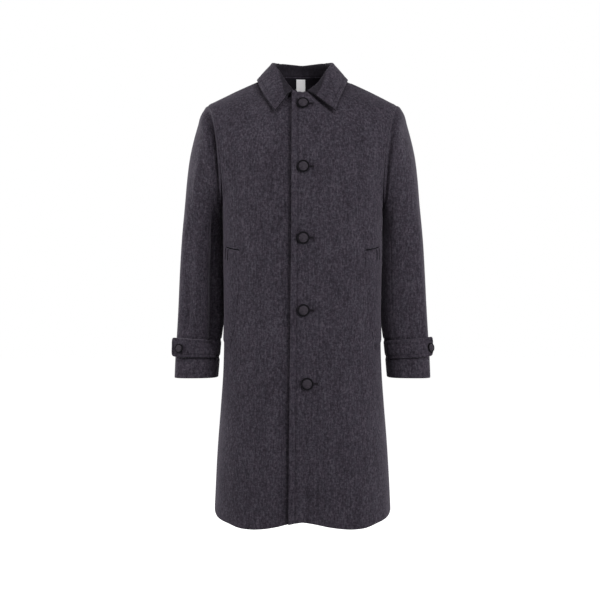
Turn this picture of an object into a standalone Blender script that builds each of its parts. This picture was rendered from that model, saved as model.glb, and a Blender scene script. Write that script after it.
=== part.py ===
# Single-breasted wool coat in its worn form, hollow, with collar, pocket welts, cuff straps and buttons.
# The front faces -Y, +X is the wearer's left, +Z is up, and z = 0 is the level of the side of the neck.
import math

import bpy
import bmesh
import numpy as np
from mathutils import Matrix, Vector
from mathutils.bvhtree import BVHTree

# Sizes are in millimetres and MM turns them into metres.
MM = 0.001

# Cloth
WALL = 3.0
SEAM_GAP = 0.3
LAY_GAP = 0.9
OVERLAP_STEP = WALL + 1.0
KEY_SHIFT = 0.00317

# Landmarks
UNDERARM = np.array((190.0, 0.0, -298.0))
SHOULDER = np.array((223.5, 8.0, -50.0))
ARMHOLE_FRONT = 86.0
ARMHOLE_BACK = 80.0
ARMHOLE_BOW = 16.0
SKIRT_DROP = 700.0
SHOULDER_BOW = 3.0

# Body rings: drop below the underarm, half width, front depth, back depth, squareness
BODY = (
    (0.0, 190.0, 142.0, 125.0, 2.45),
    (60.0, 188.5, 142.0, 118.0, 2.45),
    (118.0, 187.0, 141.5, 114.0, 2.45),
    (202.0, 185.0, 143.0, 113.0, 2.4),
    (302.0, 184.0, 146.0, 118.0, 2.4),
    (387.0, 186.0, 150.0, 126.0, 2.4),
    (457.0, 191.0, 154.0, 132.0, 2.35),
    (571.0, 200.0, 160.0, 142.0, 2.35),
    (700.0, 207.0, 165.0, 150.0, 2.35),
)

# Hem: way round from the centre (0) to the side seam (1), front level, back level
HEM = (
    (0.0, -1003.0, -1002.0),
    (0.06, -1006.5, -1002.0),
    (0.16, -1013.0, -1002.0),
    (0.30, -1020.0, -1002.0),
    (0.40, -1022.8, -1001.0),
    (0.57, -1016.0, -1000.0),
    (0.73, -1010.0, -998.0),
    (0.85, -1002.5, -996.0),
    (1.0, -992.0, -992.0),
)

# Centre lines above the underarm: rise (0 underarm, 1 neck), depth y, level z
CENTRE_FRONT = (
    (0.0, -142.0, -298.0),
    (0.25, -141.0, -234.0),
    (0.5, -135.0, -168.0),
    (0.75, -119.0, -101.0),
    (1.0, -90.0, -40.0),
)
CENTRE_BACK = (
    (0.0, 125.0, -298.0),
    (0.25, 127.0, -222.0),
    (0.5, 125.0, -140.0),
    (0.75, 109.0, -55.0),
    (1.0, 73.0, 31.0),
)

# Neckline: turn from centre back (0) to centre front (180), half width x, depth y, level z
NECK = (
    (0.0, 0.0, 73.0, 31.0),
    (30.0, 41.0, 63.0, 29.5),
    (60.0, 71.0, 36.0, 24.0),
    (90.0, 83.0, -6.0, 13.0),
    (120.0, 73.0, -47.0, -4.0),
    (150.0, 43.0, -78.0, -28.5),
    (180.0, 0.0, -90.0, -40.0),
)
NECK_SHARE_FRONT = 0.40
NECK_SHARE_BACK = 0.40

# How late the rows bend toward the shoulder seam, in x, y and z
TOP_PULL = np.array((2.4, 3.0, 1.8))
ARC_REACH = math.radians(58.0)
# How the corner between neckline and shoulder seam softens on the rows below: spread, steps each way
CORNER_SPREAD = 0.75
CORNER_STEPS = 4

# Soft folds of the skirt: face, way round, half width of the fold, depth at the hem, rise where it starts
SKIRT_FOLDS = (
    ("front", 0.00, 0.20, -11.0, -0.45),
    ("front", 0.62, 0.12, -2.5, -0.55),
    ("back", 0.00, 0.22, -5.0, -0.35),
    ("back", 0.45, 0.16, 4.0, -0.40),
)

# Front opening
EDGE_X = 25.0
EDGE_X_HEM = 32.0
DIP_FULL = 0.10
DIP_END = 0.24

# Sleeve rings: part of the way down, outer x y z, inner x y z, front depth, back depth, bow, squareness
SLEEVE = (
    (0.00, 223.5, 8.0, -50.0, 190.0, 0.0, -298.0, 86.0, 80.0, 16.0, 2.0),
    (0.04, 232.0, 8.0, -57.0, 192.8, 1.0, -303.0, 86.0, 81.0, 12.0, 2.0),
    (0.08, 241.5, 9.0, -74.0, 192.8, 5.0, -310.0, 85.0, 81.0, 9.0, 2.0),
    (0.13, 247.5, 10.0, -96.0, 192.0, 11.0, -319.0, 83.0, 80.0, 7.0, 2.0),
    (0.19, 257.0, 12.0, -130.0, 190.8, 18.0, -331.0, 80.0, 79.0, 5.0, 2.05),
    (0.26, 266.5, 14.0, -172.0, 189.4, 26.0, -347.0, 76.0, 76.0, 4.0, 2.1),
    (0.34, 273.3, 16.0, -222.0, 188.0, 33.0, -371.0, 72.0, 72.0, 3.0, 2.15),
    (0.43, 279.0, 18.0, -285.0, 186.0, 38.0, -405.0, 67.0, 68.0, 2.0, 2.2),
    (0.53, 286.0, 20.0, -365.0, 184.5, 40.0, -455.0, 63.0, 63.0, 0.0, 2.3),
    (0.63, 290.3, 20.0, -440.0, 184.5, 38.0, -505.0, 59.0, 60.0, 0.0, 2.4),
    (0.73, 293.5, 18.0, -518.0, 186.5, 34.0, -553.0, 55.0, 57.0, 0.0, 2.5),
    (0.83, 297.0, 14.0, -592.0, 192.5, 28.0, -600.0, 52.0, 54.0, 0.0, 2.65),
    (0.92, 299.5, 8.0, -645.0, 197.0, 20.0, -647.0, 50.0, 51.0, 0.0, 2.8),
    (1.00, 301.0, 2.0, -692.0, 200.5, 13.0, -692.0, 49.0, 50.0, 0.0, 2.8),
)

# Long soft folds of the sleeves: side, turn (0 outer, 90 front), half width, depth, start, deepest, end
SLEEVE_FOLDS = (
    ("right", 60.0, 20.0, -4.5, 0.22, 0.78, 0.90),
    ("right", 92.0, 16.0, 4.0, 0.22, 0.66, 0.90),
    ("right", 128.0, 18.0, -4.0, 0.22, 0.66, 0.90),
    ("left", 74.0, 22.0, -2.5, 0.30, 0.76, 0.90),
    ("left", 126.0, 24.0, 7.0, 0.20, 0.55, 0.90),
    ("left", 255.0, 24.0, -3.5, 0.35, 0.60, 0.85),
    ("right", 250.0, 24.0, -3.0, 0.35, 0.62, 0.85),
)

# Collar: part of the way from centre back to the front end, stand height, lean, roll, draw toward the centre,
# outer edge x y z
COLLAR = (
    (0.00, 23.0, 3.0, 4.0, 0.0, 0.0, 96.0, 2.0),
    (0.25, 27.5, 6.0, 3.0, 0.0, 66.0, 82.0, 2.0),
    (0.533, 31.0, 13.0, 0.5, 0.0, 106.0, -3.5, 6.0),
    (0.70, 28.0, 13.0, 1.5, 5.0, 95.0, -50.0, -24.0),
    (0.86, 16.0, 9.0, 2.5, 6.0, 80.0, -92.0, -58.0),
    (1.00, 3.0, 3.0, 1.5, 2.0, 70.0, -112.0, -84.0),
)
COLLAR_END_SHIFT = {"left": -2.0, "right": -10.0}
COLLAR_POINT_SHIFT = {"left": 4.5, "right": 9.0}
FALL_CLEAR = 3.0

# Pocket welts on the fronts: rise on the body, way round of the front edge, of the side edge
WELT = (
    (-0.140, 0.503, 0.765),
    (-0.250, 0.533, 0.795),
    (-0.360, 0.588, 0.840),
    (-0.452, 0.690, 0.915),
)
WELT_TILT = 8.0
WELT_WALL = 3.0

# Cuff straps: part of the way down of both long edges, and the turn where a strap leaves the inner seam
STRAP_TOP = 0.840
STRAP_BOTTOM = 0.917
STRAP_FROM = 140.0
# Strap ends by side: turn where the end comes free, its reach, drop of both ends, button's way from the end
STRAP_END = {"left": (36.0, 303.0, -0.0023, 0.006, 13.5), "right": (50.0, 304.0, 0.0, 0.0, 24.0)}
STRAP_WALL = 4.0

# Buttons: name, x, z
FRONT_BUTTONS = (
    ("button_1", 1.0, -64.0),
    ("button_2", 1.5, -211.0),
    ("button_3", 1.5, -371.0),
    ("button_4", 2.0, -533.0),
    ("button_5", 10.0, -697.0),
)
BUTTON_RADIUS = 14.0
CUFF_BUTTON_RADIUS = 11.0

# Turned outline of a button as shares of its radius: radius, height
BUTTON_OUTLINE = (
    (0.00, 0.00),
    (0.74, 0.00),
    (0.94, 0.09),
    (1.00, 0.20),
    (0.97, 0.33),
    (0.89, 0.39),
    (0.80, 0.36),
    (0.75, 0.31),
    (0.66, 0.33),
    (0.40, 0.38),
    (0.00, 0.40),
)

# Neck facing and label inside the back
FACING_RISE = 0.68
FACING_TURN = 76.0
FACING_WALL = 1.2
FACING_GAP = 0.95
FACING_BELOW_SEAM = 2.0
LABEL_X = (-15.0, 7.0)
LABEL_Z = (24.0, -20.0)
LABEL_WALL = 1.0

# Grid steps
UPPER_STEPS = 14
LOWER_STEPS = 10
SLEEVE_SEAM = 9
NECK_STEPS = 8
SIDE_STEPS = 8
BUTTON_STEPS = 16
WELT_STEPS = 13
STRAP_STEPS = 15

# Colours of the materials, linear
WOOL = (0.042, 0.036, 0.046, 1.0)
LINING = (0.008, 0.007, 0.010, 1.0)
BUTTON = (0.018, 0.016, 0.021, 1.0)
LABEL = (0.72, 0.70, 0.72, 1.0)


def along(table, at):
    """Every later column of a table, smoothly, where its first column is at."""
    rows = np.asarray(table, float)
    key = rows[:, 0]
    val = rows[:, 1:]
    step = np.diff(key)[:, None]
    rate = np.diff(val, axis=0) / step
    slope = np.vstack([rate[:1], 0.5 * (rate[1:] + rate[:-1]), rate[-1:]])
    slope[1:-1][rate[1:] * rate[:-1] <= 0.0] = 0.0
    at = np.clip(np.asarray(at, float), key[0], key[-1])
    i = np.clip(np.searchsorted(key, at, side="right") - 1, 0, len(key) - 2)
    h = step[i]
    t = (at - key[i])[..., None] / h
    start = (1 + 2 * t) * (1 - t) ** 2 * val[i] + t * (1 - t) ** 2 * h * slope[i]
    end = t * t * (3 - 2 * t) * val[i + 1] + t * t * (t - 1) * h * slope[i + 1]
    return start + end


def ease(t):
    """Smooth step from 0 to 1."""
    t = np.clip(t, 0.0, 1.0)
    return t * t * (3 - 2 * t)


def unit(v):
    """Vectors of length one."""
    return v / np.maximum(np.linalg.norm(v, axis=-1, keepdims=True), 1e-9)


def armhole(turn, sign):
    """Armhole seam of the wearer's left: turn 0 shoulder, pi underarm; sign -1 front, 1 back."""
    share = (1 + math.cos(turn)) / 2
    point = UNDERARM + (SHOULDER - UNDERARM) * share
    depth = ARMHOLE_FRONT if sign < 0 else ARMHOLE_BACK
    bow = ARMHOLE_BOW * math.sin(turn) * (1 + 0.3 * math.cos(turn))
    return point + np.array((-bow, sign * depth * math.sin(turn), 0.0))


def arc(a, b, way, reach, power):
    """A row from the centre point a to the side point b, part of a squared oval."""
    phi = way * reach
    over = (np.sin(phi) / math.sin(reach)) ** (2 / power)
    low = 1 - max(math.cos(reach), 0.0) ** (2 / power)
    back = (1 - np.maximum(np.cos(phi), 0.0) ** (2 / power)) / low
    level = way ** 1.5
    return a + (b - a) * np.stack([over, back, level], axis=-1)


def top_edge(face, way):
    """Neckline and shoulder seam of the wearer's left half."""
    neck_share = NECK_SHARE_FRONT if face == "front" else NECK_SHARE_BACK
    share = np.clip(way / neck_share, 0.0, 1.0)
    turn = 180.0 - 90.0 * share if face == "front" else 90.0 * share
    neck = along(NECK, turn)
    out = np.clip((way - neck_share) / (1 - neck_share), 0.0, 1.0)[..., None]
    point = along(NECK, 90.0)
    seam = point + (SHOULDER - point) * out
    seam = seam + np.array((0.0, 0.0, SHOULDER_BOW)) * np.sin(out * math.pi)
    return np.where(out > 0, seam, neck)


def top_bend(face, side, rise):
    """How far the top edge lies from a plain row, softened on the rows below it."""
    centre = CENTRE_FRONT if face == "front" else CENTRE_BACK
    a = np.array((0.0, *along(centre, 1.0)))
    total = 0.0
    weights = 0.0
    for step in range(-CORNER_STEPS, CORNER_STEPS + 1):
        share = step / CORNER_STEPS
        weight = math.exp(-2.5 * share * share)
        at = side + share * CORNER_SPREAD * (1 - rise) ** 0.8 * (1 - side)
        bend = top_edge(face, np.abs(at)) - arc(a, SHOULDER, np.abs(at), ARC_REACH, along(BODY, 0.0)[3])
        bend[..., 0] *= np.sign(at)
        total = total + weight * bend
        weights += weight
    return total / weights


def body_row(face, rise, way):
    """A row of the body: rise -1 hem, 0 underarm, 1 neck; way 0 centre, 1 side, below 0 past the centre."""
    sign = -1.0 if face == "front" else 1.0
    side = np.abs(way)
    if rise <= 0.0:
        width, front, back, power = along(BODY, -rise * SKIRT_DROP)
        depth = front if face == "front" else back
        a = np.array((0.0, sign * depth, 0.0))
        b = np.array((width, 0.0, 0.0))
        points = arc(a, b, side, math.pi / 2, power)
        hem = along(HEM, side)[..., 0 if face == "front" else 1]
        points[..., 2] = UNDERARM[2] - (hem - UNDERARM[2]) * rise
        phi = side * math.pi / 2
        out = np.stack([np.sin(phi), sign * np.cos(phi), 0 * phi], axis=-1)
        for fold_face, place, half, deep, start in SKIRT_FOLDS:
            if fold_face == face and rise < start:
                amount = deep * ease((start - rise) / (start + 1))
                points = points + out * (amount * np.exp(-((side - place) / half) ** 2))[..., None]
    else:
        turn = math.pi * (1 - rise)
        centre = CENTRE_FRONT if face == "front" else CENTRE_BACK
        power = along(BODY, 0.0)[3]
        reach = math.pi / 2 + (ARC_REACH - math.pi / 2) * float(ease(rise / 0.45))
        a = np.array((0.0, *along(centre, rise)))
        points = arc(a, armhole(turn, sign), side, reach, power)
        points = points + top_bend(face, side, rise) * rise ** TOP_PULL
    points[..., 0] *= np.where(way < 0, -1.0, 1.0)
    return points


def edge_way(rise):
    """How far past the centre the front edge lies on a row."""
    fine = np.linspace(0.0, 0.25, 51)
    reach = body_row("front", rise, fine)[:, 0]
    low = min(max(-rise, 0.0), 1.0)
    return float(np.interp(EDGE_X + (EDGE_X_HEM - EDGE_X) * low, reach, fine))


def sleeve_point(part, turn, side):
    """Points of the wearer's left sleeve: turn 0 outer, 90 front, 180 inner; side picks the folds."""
    row = along(SLEEVE, part)
    outer = row[..., 0:3]
    inner = row[..., 3:6]
    front, back, bow, power = (row[..., k] for k in (6, 7, 8, 9))
    rad = np.radians(turn)
    swing = np.sign(np.sin(rad)) * np.abs(np.sin(rad)) ** (2 / power)
    over = np.sign(np.cos(rad)) * np.abs(np.cos(rad)) ** (2 / power)
    points = inner + (outer - inner) * ((1 + over) / 2)[..., None]
    depth = np.where(swing > 0, front, back)
    points = points + np.stack(
        [-bow * np.abs(swing) * (1 + 0.3 * np.cos(rad)), -depth * swing, 0 * swing], axis=-1
    )
    out = np.stack([np.cos(rad), -np.sin(rad), 0 * rad], axis=-1)
    for fold_side, place, half, deep, start, peak, end in SLEEVE_FOLDS:
        if fold_side == side:
            strength = ease((part - start) / (peak - start)) * ease((end - part) / (end - peak))
            around = (turn - place + 180.0) % 360.0 - 180.0
            points = points + out * (deep * strength * np.exp(-(around / half) ** 2))[..., None]
    return points


def grid_normals(grid):
    """Outward direction at each point of a grid, columns crossed with rows."""
    across = np.gradient(grid, axis=1)
    up = np.gradient(grid, axis=0)
    return unit(np.cross(across, up))


def seam_key(point):
    """The same key for points that lie together."""
    return tuple(np.round(point + KEY_SHIFT, 2))


def shared_normals(grids):
    """Outward directions that agree where the grids share seam points."""
    total = {}
    normals = {name: grid_normals(grid) for name, grid in grids.items()}
    for name, grid in grids.items():
        for point, normal in zip(grid.reshape(-1, 3), normals[name].reshape(-1, 3)):
            key = seam_key(point)
            total[key] = total.get(key, 0.0) + normal
    middle = (UNDERARM + SHOULDER) / 2
    for i in range(2 * UPPER_STEPS):
        turn = math.pi * i / UPPER_STEPS
        sign = -1.0 if turn <= math.pi else 1.0
        point = armhole(min(turn, 2 * math.pi - turn), sign)
        spread = unit((point - middle) * np.array((0.3, 1.0, 1.0)))
        for hand in (1.0, -1.0):
            mirror = np.array((hand, 1.0, 1.0))
            total[seam_key(point * mirror)] = spread * mirror
    for name, grid in grids.items():
        keys = [seam_key(point) for point in grid.reshape(-1, 3)]
        normals[name] = unit(np.array([total[key] for key in keys])).reshape(grid.shape)
    return normals


def drawn_in(grid, edges):
    """The grid with the named edges moved half a seam gap back into the piece."""
    moved = grid.copy()
    beside = {"first_row": (0, 1), "last_row": (-1, -2)}
    for edge, (at, inner) in beside.items():
        if edge in edges:
            moved[at] += SEAM_GAP / 2 * unit(grid[inner] - grid[at])
    beside = {"first_col": (0, 1), "last_col": (-1, -2)}
    for edge, (at, inner) in beside.items():
        if edge in edges:
            moved[:, at] += SEAM_GAP / 2 * unit(grid[:, inner] - grid[:, at])
    return moved


def material(name, colour, roughness):
    """A plain Principled material."""
    made = bpy.data.materials.new(name)
    made.use_nodes = True
    shader = made.node_tree.nodes["Principled BSDF"]
    shader.inputs["Base Color"].default_value = colour
    shader.inputs["Roughness"].default_value = roughness
    return made


def keep(mesh, name, colour, roughness):
    """The mesh as a named object of the coat with its own material."""
    mesh.materials.append(material(name, colour, roughness))
    made = bpy.data.objects.new(name, mesh)
    COAT.objects.link(made)
    return made


def wall(name, outer, inner, colour=WOOL, roughness=0.9, seams=()):
    """A closed solid between an outer and an inner grid of points, drawn in at the named seams."""
    rows, cols = outer.shape[:2]
    count = rows * cols
    points = np.vstack([outer.reshape(-1, 3), inner.reshape(-1, 3)])
    kept = np.vstack([drawn_in(outer, seams).reshape(-1, 3), drawn_in(inner, seams).reshape(-1, 3)])
    at = np.arange(count).reshape(rows, cols)
    faces = []
    for i in range(rows - 1):
        for j in range(cols - 1):
            a, b, c, d = (int(k) for k in (at[i, j], at[i, j + 1], at[i + 1, j + 1], at[i + 1, j]))
            if np.linalg.norm(points[a] - points[c]) <= np.linalg.norm(points[b] - points[d]):
                halves = [(a, b, c), (a, c, d)]
            else:
                halves = [(a, b, d), (b, c, d)]
            faces += halves
            faces += [tuple(k + count for k in reversed(half)) for half in halves]
    rim = [*at[0], *at[1:, -1], *at[-1, -2::-1], *at[-2:0:-1, 0]]
    rim = [int(k) for k in rim]
    for a, b in zip(rim, rim[1:] + rim[:1]):
        c, d = a + count, b + count
        if np.linalg.norm(points[b] - points[c]) <= np.linalg.norm(points[a] - points[d]):
            faces += [(b, a, c), (b, c, d)]
        else:
            faces += [(b, a, d), (a, c, d)]
    mesh = bpy.data.meshes.new(name)
    mesh.from_pydata([tuple(p) for p in kept * MM], [], faces)
    mesh.update()
    return keep(mesh, name, colour, roughness)


def surface_tree(grids):
    """A search tree over the outer faces of some grids."""
    points = []
    faces = []
    for grid in grids:
        rows, cols = grid.shape[:2]
        first = len(points)
        points.extend(Vector(p) for p in grid.reshape(-1, 3))
        for i in range(rows - 1):
            for j in range(cols - 1):
                a = first + i * cols + j
                faces.append((a, a + 1, a + cols + 1, a + cols))
    return BVHTree.FromPolygons(points, faces)


def seated(points, out, tree):
    """Points dropped along their outward directions onto the faces of a panel."""
    placed = points.copy()
    for at in np.ndindex(points.shape[:2]):
        high = Vector(points[at] + out[at] * 15.0)
        place, _, _, _ = tree.ray_cast(high, Vector(-out[at]))
        placed[at] = place
    return placed


def turned_button(name, place, facing, radius):
    """A turned button seated on a place with its axis along facing."""
    mesh = bpy.data.meshes.new(name)
    points = [(r * radius * MM, 0.0, h * radius * MM) for r, h in BUTTON_OUTLINE]
    mesh.from_pydata(points, [(i, i + 1) for i in range(len(points) - 1)], [])
    rough = bpy.data.objects.new(name + "_outline", mesh)
    COAT.objects.link(rough)
    turn = rough.modifiers.new("Turn", "SCREW")
    turn.axis = "Z"
    turn.steps = BUTTON_STEPS
    turn.render_steps = BUTTON_STEPS
    turn.use_merge_vertices = True
    turn.merge_threshold = 0.00001
    turned = bpy.data.meshes.new_from_object(rough.evaluated_get(bpy.context.evaluated_depsgraph_get()))
    bpy.data.objects.remove(rough)
    bm = bmesh.new()
    bm.from_mesh(turned)
    bmesh.ops.remove_doubles(bm, verts=bm.verts, dist=0.00001)
    bmesh.ops.recalc_face_normals(bm, faces=bm.faces)
    if bm.calc_volume(signed=True) < 0.0:
        bmesh.ops.reverse_faces(bm, faces=bm.faces)
    toward = Vector(facing).normalized()
    seat = Vector(place) * MM + toward * LAY_GAP * MM
    spin = toward.to_track_quat("Z", "Y").to_matrix().to_4x4()
    bmesh.ops.transform(bm, matrix=Matrix.Translation(seat) @ spin, verts=bm.verts)
    bm.to_mesh(turned)
    bm.free()
    return keep(turned, name, BUTTON, 0.55)


def mirrored(grid):
    """The same grid on the other side of the body, still facing out."""
    return (grid * np.array((-1.0, 1.0, 1.0)))[:, ::-1]


for old in list(bpy.data.objects):
    bpy.data.objects.remove(old)
COAT = bpy.data.collections.new("single_breasted_coat")
bpy.context.scene.collection.children.link(COAT)

# Rows of the body, and ways round of the fronts and the back
rises = [-1 + i / LOWER_STEPS for i in range(LOWER_STEPS)]
rises += [i / UPPER_STEPS for i in range(UPPER_STEPS + 1)]
neck_ways = [NECK_SHARE_FRONT * i / NECK_STEPS for i in range(NECK_STEPS + 1)]
side_ways = [NECK_SHARE_FRONT + (1 - NECK_SHARE_FRONT) * (i + 1) / SIDE_STEPS for i in range(SIDE_STEPS)]
half_ways = np.array(neck_ways + side_ways)

front_rows = []
for rise in rises:
    past = edge_way(rise)
    front_rows.append(body_row("front", rise, np.array([-past, -past / 2, *half_ways])))
front = np.array(front_rows)
back_ways = np.array([*half_ways[::-1], *-half_ways[1:]])
back = np.array([body_row("back", rise, back_ways) for rise in rises])

# Sleeves, ring by ring from the armhole
parts = np.array([row[0] for row in SLEEVE])
turns = 180.0 / UPPER_STEPS * np.arange(2 * UPPER_STEPS + 1)
top_turns = np.concatenate([turns[-1 - SLEEVE_SEAM:-1] - 360.0, turns[:SLEEVE_SEAM + 1]])
under_turns = turns[SLEEVE_SEAM:2 * UPPER_STEPS - SLEEVE_SEAM + 1]
sleeves = {}
for side in ("left", "right"):
    for piece, piece_turns in (("top", top_turns), ("under", under_turns)):
        down, around = np.meshgrid(parts, piece_turns, indexing="ij")
        grid = sleeve_point(down, around, side)
        sleeves["sleeve_%s_%s" % (side, piece)] = grid if side == "left" else mirrored(grid)

# Collar: hidden side of the folded piece, from the neck seam over the fold to the outer edge
collar_turns = [180.0 - 90.0 * i / NECK_STEPS for i in range(1, NECK_STEPS)]
collar_turns += [90.0 * (NECK_STEPS - i) / NECK_STEPS for i in range(NECK_STEPS + 1)]
collar_sides = [("left", turn) for turn in collar_turns]
collar_sides += [("right", turn) for turn in collar_turns[-2::-1]]
body_tree = surface_tree([front, mirrored(front), back])
collar_cols = []
for side, turn in collar_sides:
    hand = np.array((1.0 if side == "left" else -1.0, 1.0, 1.0))
    part = turn / collar_turns[0]
    seam = along(NECK, turn) * hand
    row = along(COLLAR, part)
    stand, lean, roll, draw = row[:4]
    late = max(part - 0.7, 0.0) / 0.3
    edge = row[4:7] * hand + np.array((COLLAR_POINT_SHIFT[side] * late ** 2, 0.0, 0.0))
    rad = math.radians(turn)
    out = unit(np.array((math.sin(rad) * hand[0], math.cos(rad), 0.0)))
    shift = np.array((COLLAR_END_SHIFT[side] * late ** 4 - draw * hand[0], 0.0, 0.0))
    fold = seam - out * lean + np.array((0.0, 0.0, stand)) + shift
    column = [seam, seam + (fold - seam) * 0.5 + out * 1.0, fold - np.array((0.0, 0.0, 1.0))]
    column += [fold + out * 0.5 + np.array((0.0, 0.0, 0.6)), fold + out * 1.6 + np.array((0.0, 0.0, 0.6))]
    start = fold + out * 2.4 - np.array((0.0, 0.0, 0.8))
    for share in (0.0, 0.2, 0.4, 0.6, 0.8, 1.0):
        point = start + (edge - start) * share
        point = point + (out * 0.8 + np.array((0.0, 0.0, 0.6))) * roll * math.sin(math.pi * share)
        place, normal, _, _ = body_tree.find_nearest(Vector(point))
        lift = (point - np.array(place)) @ np.array(normal)
        if share > 0.0 and lift < FALL_CLEAR:
            point = point + np.array(normal) * (FALL_CLEAR - lift)
        column.append(point)
    collar_cols.append(column)
collar = np.array(collar_cols).transpose(1, 0, 2)

# Solids of the cloth
grids = {"front_left": front, "front_right": mirrored(front), "back": back, **sleeves, "collar": collar}
normals = shared_normals(grids)
seams = {
    "front_left": ("last_row", "last_col"),
    "front_right": ("last_row", "first_col"),
    "back": ("last_row", "first_col", "last_col"),
    "collar": ("first_row",),
}
inner_grids = {}
for name, grid in grids.items():
    outer = grid
    normal = normals[name]
    if name == "front_right":
        ways = np.array([0.0, 0.0, *half_ways])[::-1]
        dip = OVERLAP_STEP * (1 - ease((ways - DIP_FULL) / (DIP_END - DIP_FULL)))
        outer = grid - normal * dip[None, :, None]
    inner = outer - normal * WALL
    edges = seams.get(name, ("first_row", "first_col", "last_col"))
    inner_grids[name] = inner
    wall(name, outer, inner, seams=edges)

# Pocket welts, from points of the fronts moved out
front_tree = surface_tree([front])
welt_steps = [(i / (len(WELT) - 1), *row) for i, row in enumerate(WELT)]
welt_spans = along(welt_steps, np.linspace(1.0, 0.0, WELT_STEPS))
welt_rows = []
for rise, way_front, way_side in welt_spans:
    row = []
    for across in np.linspace(0.0, 1.0, 7):
        way = way_front + (way_side - way_front) * across
        row.append(body_row("front", rise + WELT_TILT / SKIRT_DROP * across, np.array([way]))[0])
    welt_rows.append(row)
welt = np.array(welt_rows)
welt_out = grid_normals(welt)
welt = seated(welt, welt_out, front_tree)
for side in ("left", "right"):
    low = welt + welt_out * LAY_GAP
    high = welt + welt_out * (LAY_GAP + WELT_WALL)
    if side == "right":
        low, high = mirrored(low), mirrored(high)
    wall("pocket_welt_" + side, high, low)

# Cuff straps, from points of the sleeves moved out, with a free end past the outer line
for side in ("left", "right"):
    sleeve_grids = [sleeves["sleeve_%s_%s" % (side, piece)] for piece in ("top", "under")]
    if side == "right":
        sleeve_grids = [mirrored(grid) for grid in sleeve_grids]
    sleeve_tree = surface_tree(sleeve_grids)
    leaves, end_x, drop, inner_drop, button_at = STRAP_END[side]
    around = np.linspace(leaves, STRAP_FROM, STRAP_STEPS)
    down, turn = np.meshgrid(np.linspace(STRAP_TOP, STRAP_BOTTOM, 4), around, indexing="ij")
    down = down + drop + (inner_drop - drop) * (turn - leaves) / (STRAP_FROM - leaves)
    laid = sleeve_point(down, turn, "plain")
    laid = seated(laid, grid_normals(laid), sleeve_tree)
    ahead = unit(laid[:, :1] - laid[:, 1:2])
    reach = (end_x - laid[:, :1, :1]) / ahead[..., :1]
    free = laid[:, :1] + ahead * reach * np.array((1.0, 0.66, 0.33))[None, :, None]
    strap = np.concatenate([free, laid], axis=1)
    strap_out = grid_normals(strap)
    low = strap + strap_out * LAY_GAP
    high = low + strap_out * STRAP_WALL
    middle = (high[1] + high[2]) / 2
    seat = middle[0] + unit(middle[3] - middle[0]) * button_at
    facing = unit(strap_out[1, 1] + strap_out[2, 1])
    hand = np.array((1.0 if side == "left" else -1.0, 1.0, 1.0))
    if side == "right":
        low, high = mirrored(low), mirrored(high)
    wall("cuff_strap_" + side, high, low)
    turned_button("cuff_button_" + side, seat * hand, facing * hand, CUFF_BUTTON_RADIUS)

# Front buttons, seated on the overlapping front
for name, x, z in FRONT_BUTTONS:
    place, facing, _, _ = front_tree.ray_cast(Vector((x, -400.0, z)), Vector((0.0, 1.0, 0.0)))
    if facing.y > 0.0:
        facing = -facing
    turned_button(name, place, facing, BUTTON_RADIUS)

# Neck facing and label, from points of the inside of the back
facing_rows = [i for i, rise in enumerate(rises) if rise >= FACING_RISE]
limit = NECK_SHARE_BACK * FACING_TURN / 90.0
facing_cols = [j for j, way in enumerate(back_ways) if abs(way) <= limit]
patch = np.ix_(facing_rows, facing_cols)
facing_out = grid_normals(inner_grids["back"])[patch]
high = inner_grids["back"][patch] - facing_out * FACING_GAP
high[-1] += FACING_BELOW_SEAM * unit(high[-2] - high[-1])
low = high - facing_out * FACING_WALL
wall("back_neck_facing", high, low, LINING, 0.7)

facing_tree = surface_tree([low])
label_rows = []
for z in np.linspace(LABEL_Z[1], LABEL_Z[0], 6):
    row = []
    for x in np.linspace(LABEL_X[1], LABEL_X[0], 4):
        place, _, _, _ = facing_tree.ray_cast(Vector((x, -20.0, z)), Vector((0.0, 1.0, 0.0)))
        row.append(place)
    label_rows.append(row)
label = np.array(label_rows)
label_out = grid_normals(label)
wall("neck_label", label - label_out * LAY_GAP, label - label_out * (LAY_GAP + LABEL_WALL), LABEL, 0.8)
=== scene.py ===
import math

import bpy
import numpy as np
from mathutils import Matrix, Vector
from mathutils.bvhtree import BVHTree


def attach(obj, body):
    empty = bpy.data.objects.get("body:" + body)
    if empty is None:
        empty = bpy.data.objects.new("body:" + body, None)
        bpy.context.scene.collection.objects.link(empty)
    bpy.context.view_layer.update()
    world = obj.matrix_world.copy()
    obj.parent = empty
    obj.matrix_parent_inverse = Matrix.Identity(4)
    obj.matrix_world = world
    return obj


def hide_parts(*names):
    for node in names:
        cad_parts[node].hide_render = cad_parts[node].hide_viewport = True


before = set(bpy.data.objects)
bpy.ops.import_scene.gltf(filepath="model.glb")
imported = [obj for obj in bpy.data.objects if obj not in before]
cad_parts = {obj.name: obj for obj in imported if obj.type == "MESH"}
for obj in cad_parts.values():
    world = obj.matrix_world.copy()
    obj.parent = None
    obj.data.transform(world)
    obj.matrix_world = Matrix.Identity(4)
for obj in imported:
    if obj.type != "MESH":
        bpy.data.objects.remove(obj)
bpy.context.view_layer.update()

# Sizes are in millimetres and MM turns them into metres.
MM = 0.001

# What turns a place on the wearer's left to each side, and the way up
HAND = {"left": np.array((1, 1, 1)), "right": np.array((-1, 1, 1))}
UP = np.array((0.0, 0.0, 1.0))

# Cloth
WALL = 3
LAY_GAP = 0.9
OVERLAP_STEP = WALL + 1.0

# Landmarks
UNDERARM = np.array((190.0, 0.0, -298.0))
SHOULDER = np.array((223.5, 8.0, -50.0))
ARMHOLE_FRONT = 86
ARMHOLE_BACK = 80
ARMHOLE_BOW = 16
SKIRT_DROP = 700
SHOULDER_BOW = 3

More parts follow.
